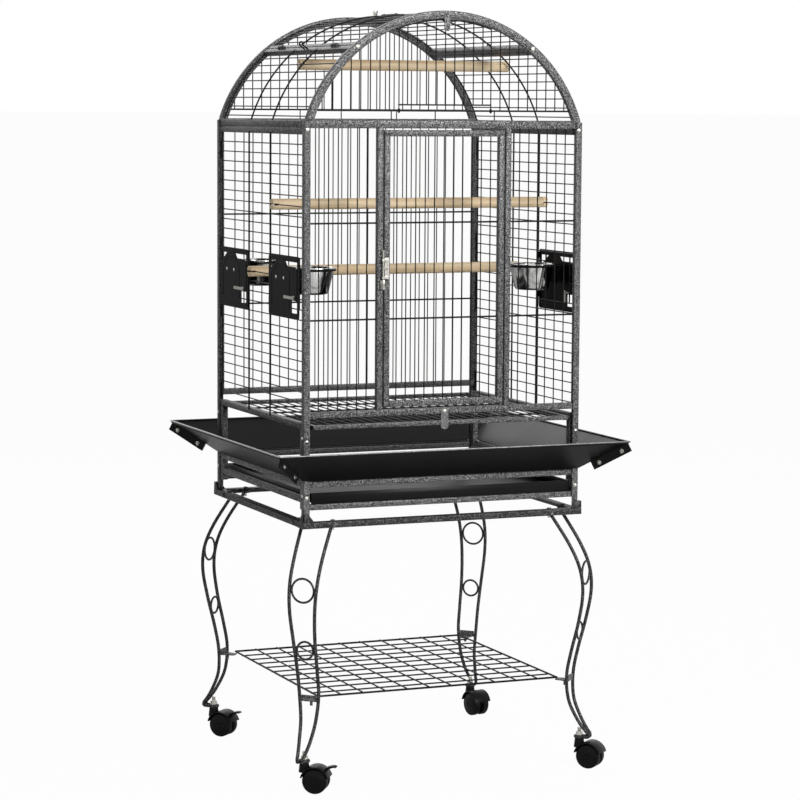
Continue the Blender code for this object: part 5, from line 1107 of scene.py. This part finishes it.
def make_dome_side(name, side):
    rails, wires = bmesh.new(), bmesh.new()
    bar(rails, (side * PANEL_X, -SIDE_END, SIDE_TOP + FIT), (side * (PANEL_X - TUBE), SIDE_END, 1.3078),
        BASE_ROUND)
    tilted_rail(rails, MID_RAIL, side, HALF_DEPTH - TUBE - FIT)
    dome_grille(wires, side, math.radians(73.4), MID_RAIL,
                [PERCH_ANGLE + DOME_ROW * k for k in range(-1, 7)])
    hinge_x, hinge_z = hinge_place(side)
    rail_x, rail_z = on_dome(DOME_WIRE + 0.001, MID_RAIL, side)
    for y in FLAP_HINGES:
        rod(rails, (hinge_x, y - 0.018, hinge_z), (hinge_x, y + 0.018, hinge_z), 0.0015, 12)
        for arm in (y - 0.014, y + 0.014):
            bent_rod(rails, [(rail_x, arm, rail_z), (hinge_x + side * 0.0010, arm, hinge_z)], 0.0024, 12)
    top_x, top_z = on_dome(DOME_WIRE + 0.022, MID_RAIL, side)
    foot_x, foot_z = on_dome(DOME_WIRE - 0.001, MID_RAIL, side)
    half, tall = 0.009, 0.006
    crown = [(top_x, -half * math.cos(a), top_z - tall * (1 - math.sin(a)))
             for a in (math.pi * k / 12 for k in range(13))]
    bent_rod(wires, [(foot_x, -half, foot_z), *crown, (foot_x, half, foot_z)], 0.0018, 10)
    finish_piece(f"dome_rails_{name}", rails, "hammertone_coat", nodes=[f"dome_side_{name}"])
    finish_piece(f"dome_wires_{name}", wires, "dark_wire")


def make_flap(name, side):
    rails, wires = bmesh.new(), bmesh.new()
    half, body, top = HALF_DEPTH - TUBE - FIT, f"flap_{name}", RIDGE_TOP
    tilted_rail(rails, FLAP_RAIL, side, half)
    bar(rails, (side * 0.0005, -half, top - 0.012), (side * 0.011, half, top), BASE_ROUND)
    count = int((FLAP_RAIL - math.radians(4)) / DOME_ROW)
    dome_grille(wires, side, FLAP_RAIL, math.radians(1.5),
                [FLAP_RAIL - DOME_ROW * (k + 1) for k in range(count)])
    hinge_x, hinge_z = hinge_place(side)
    rail_x, rail_z = on_dome(DOME_WIRE + 0.001, FLAP_RAIL, side)
    for y in FLAP_HINGES:
        collar(rails, (hinge_x, y - 0.010, hinge_z), (0, 1, 0), 0.0019, 0.0032, 0.020)
        bar(rails, (hinge_x - side * 0.0018, y - 0.0095, hinge_z - 0.0003),
            (rail_x - side * 0.002, y + 0.0095, rail_z), 0.0003, 1)
    finish_piece(f"flap_rails_{name}", rails, "hammertone_coat", body, [f"roof_flap_{name}"])
    finish_piece(f"flap_wires_{name}", wires, "dark_wire", body)


def make_ridge_strap():
    """The strap and the stud on the left flap's ridge bar, which the wing nut holds down."""
    strap, stud, top = bmesh.new(), bmesh.new(), RIDGE_TOP
    middle, half, wall, start, end = -0.00575, 0.0045, 0.0022, -0.020, 0.060
    pushed(strap, [(middle - half, start, top), (middle + half, start, top), (middle + half, end, top),
                   (middle - half, end, top)], (0, 0, wall), rounding=0.0030, segments=4)
    for y in (start + 0.008, end - 0.008):
        screw(strap, (middle, y, top + wall), (0, 0, 1), 0.0030, 0.0014)
    rod(stud, (middle, 0.100, top - 0.001), (middle, 0.100, top + 0.012), 0.0019, 14)
    finish_piece("ridge_strap", strap, "hammertone_coat", "flap_left")
    finish_piece("ridge_stud", stud, "bright_nickel", "flap_left")


def make_hatch():
    y, half, radius, low, thin = -(HALF_DEPTH - TUBE / 2), HATCH_HALF, 0.290, 1.3395, 0.0015
    wires, edge = bmesh.new(), math.asin(half / radius)
    dome_rod(wires, y, -edge, edge, radius, thin, 24)
    rod(wires, (-half - WIRE, y, low), (half + WIRE, y, low), thin)
    for x in mirrored(rows(0, half)):
        rod(wires, (x, y, low), (x, y, DOME_CENTRE + math.sqrt(radius ** 2 - x * x)))
    for x in (-half, half):
        rod(wires, (x, y, CRESCENT_Z + 0.0030), (x, y, DOME_CENTRE + math.sqrt(radius ** 2 - half ** 2)))
        hoop(wires, (x, y, CRESCENT_Z), (1, 0, 0), 0.0036, 0.0013, 20)
    finish_piece("hatch_wires", wires, "dark_wire", "hatch", ["dome_hatch"])


# ---- stage -----------------------------------------------------------------------------------

def make_stage():
    """A white floor that shows its own colour to the camera, less the share that takes the shadow."""
    floor, data = bmesh.new(), bpy.data.meshes.new("floor")
    bmesh.ops.create_grid(floor, x_segments=1, y_segments=1, size=400)
    floor.to_mesh(data)
    floor.free()
    paper = Finish("paper floor", base_color=(0.93, 0.93, 0.93, 1), roughness=0.9)
    glow = paper.node("ShaderNodeEmission", {}, {"Strength": 1.0})
    lit = Link(paper, paper.shader.outputs[0])
    mixed = paper.node("ShaderNodeMixShader", {}, {0: 0.965 * paper.ray("Is Camera Ray"), 1: lit, 2: glow})
    paper.feed(paper.tree.nodes["Material Output"].inputs["Surface"], mixed)
    data.materials.append(paper.material)
    placed("floor", data)


def make_world():
    """White to the camera and in reflections, and a soft grey light on everything else."""
    world = bpy.data.worlds.new("studio")
    bpy.context.scene.world = world
    nodes = Nodes(world)
    seen = nodes.ray("Is Camera Ray")
    for kind in ("Is Glossy Ray", "Is Transmission Ray"):
        seen = seen.maths("MAXIMUM", seen, nodes.ray(kind))
    ground = nodes.tree.nodes["Background"]
    nodes.feed(ground.inputs["Color"], (1, 1, 1, 1))
    nodes.feed(ground.inputs["Strength"], SKY_LIGHT + (1 - SKY_LIGHT) * seen)


def make_lamp(name, place, size, power):
    """A soft box that points at the middle of the cage."""
    lamp = bpy.data.lights.new(name, "AREA")
    lamp.shape, lamp.size, lamp.size_y, lamp.energy = "RECTANGLE", *size, power
    placed(name, lamp).matrix_world = Matrix.Translation(place) @ facing(Vector(place) - CAGE_MIDDLE)


def make_camera():
    yaw, pitch, roll = math.radians(22.71), math.radians(5.985), math.radians(0.344)
    forward = Vector((math.sin(yaw) * math.cos(pitch), math.cos(yaw) * math.cos(pitch), -math.sin(pitch)))
    level = Vector((math.cos(yaw), -math.sin(yaw), 0))
    right = level * math.cos(roll) + level.cross(forward) * math.sin(roll)
    data = bpy.data.cameras.new("camera")
    data.lens, data.sensor_width, data.clip_end = 126.78, 36, 2000
    turn = Matrix((right, right.cross(forward), -forward)).transposed().to_4x4()
    camera = placed("camera", data)
    camera.matrix_world = Matrix.Translation((-2.2187, -5.3323, 1.3396)) @ turn
    bpy.context.scene.camera = camera


# ---- the whole scene -------------------------------------------------------------------------

def finish_nodes():
    """Gives each solid that is still shown the finish of its slot."""
    for entry in frame["record"]["subparts"]:
        node = frame["nodes"][entry["node"]]
        if not node.hide_render:
            node.data.materials.clear()
            node.data.materials.append(FINISHES[entry["material_slot"]])


make_posts()
make_front_panel()
make_back_panel()
make_front_door()
make_door_tab()
for panel, side in (("left", -1), ("right", 1)):
    make_side_panel(panel, side, [hinge_y for _, where, hinge_y in FEEDERS if where == side])
for feeder in FEEDERS:
    make_feeder_sheet(*feeder)
    make_feeder_ring(*feeder)
    make_feeder_rivets(*feeder)
    make_bowl(feeder[0])
make_perch("perch_upper", 0.0108)
make_perch("perch_lower", 0.0108)
make_perch("perch_dome", 0.0060)
make_base_frame()
make_tray()
make_grate()
make_seed_guards()
make_stand_top()
make_shelf()
for corner, sign_x, sign_y in CORNERS:
    make_leg(corner, sign_x, sign_y)
    make_caster(corner, sign_x, sign_y, brake=sign_x < 0)
make_dome_end("front", -1, True)
make_dome_end("back", 1, False)
make_dome_side("left", -1)
make_dome_side("right", 1)
make_flap("left", -1)
make_flap("right", 1)
make_ridge_strap()
make_hatch()
finish_nodes()
make_stage()
make_world()
make_lamp("key", (1.2, -4.0, 2.7), (2.0, 2.0), 160)
make_lamp("rear", (0.4, 3.4, 3.4), (3.2, 2.2), 45)
make_camera()
bpy.context.scene.view_settings.view_transform = "Standard"
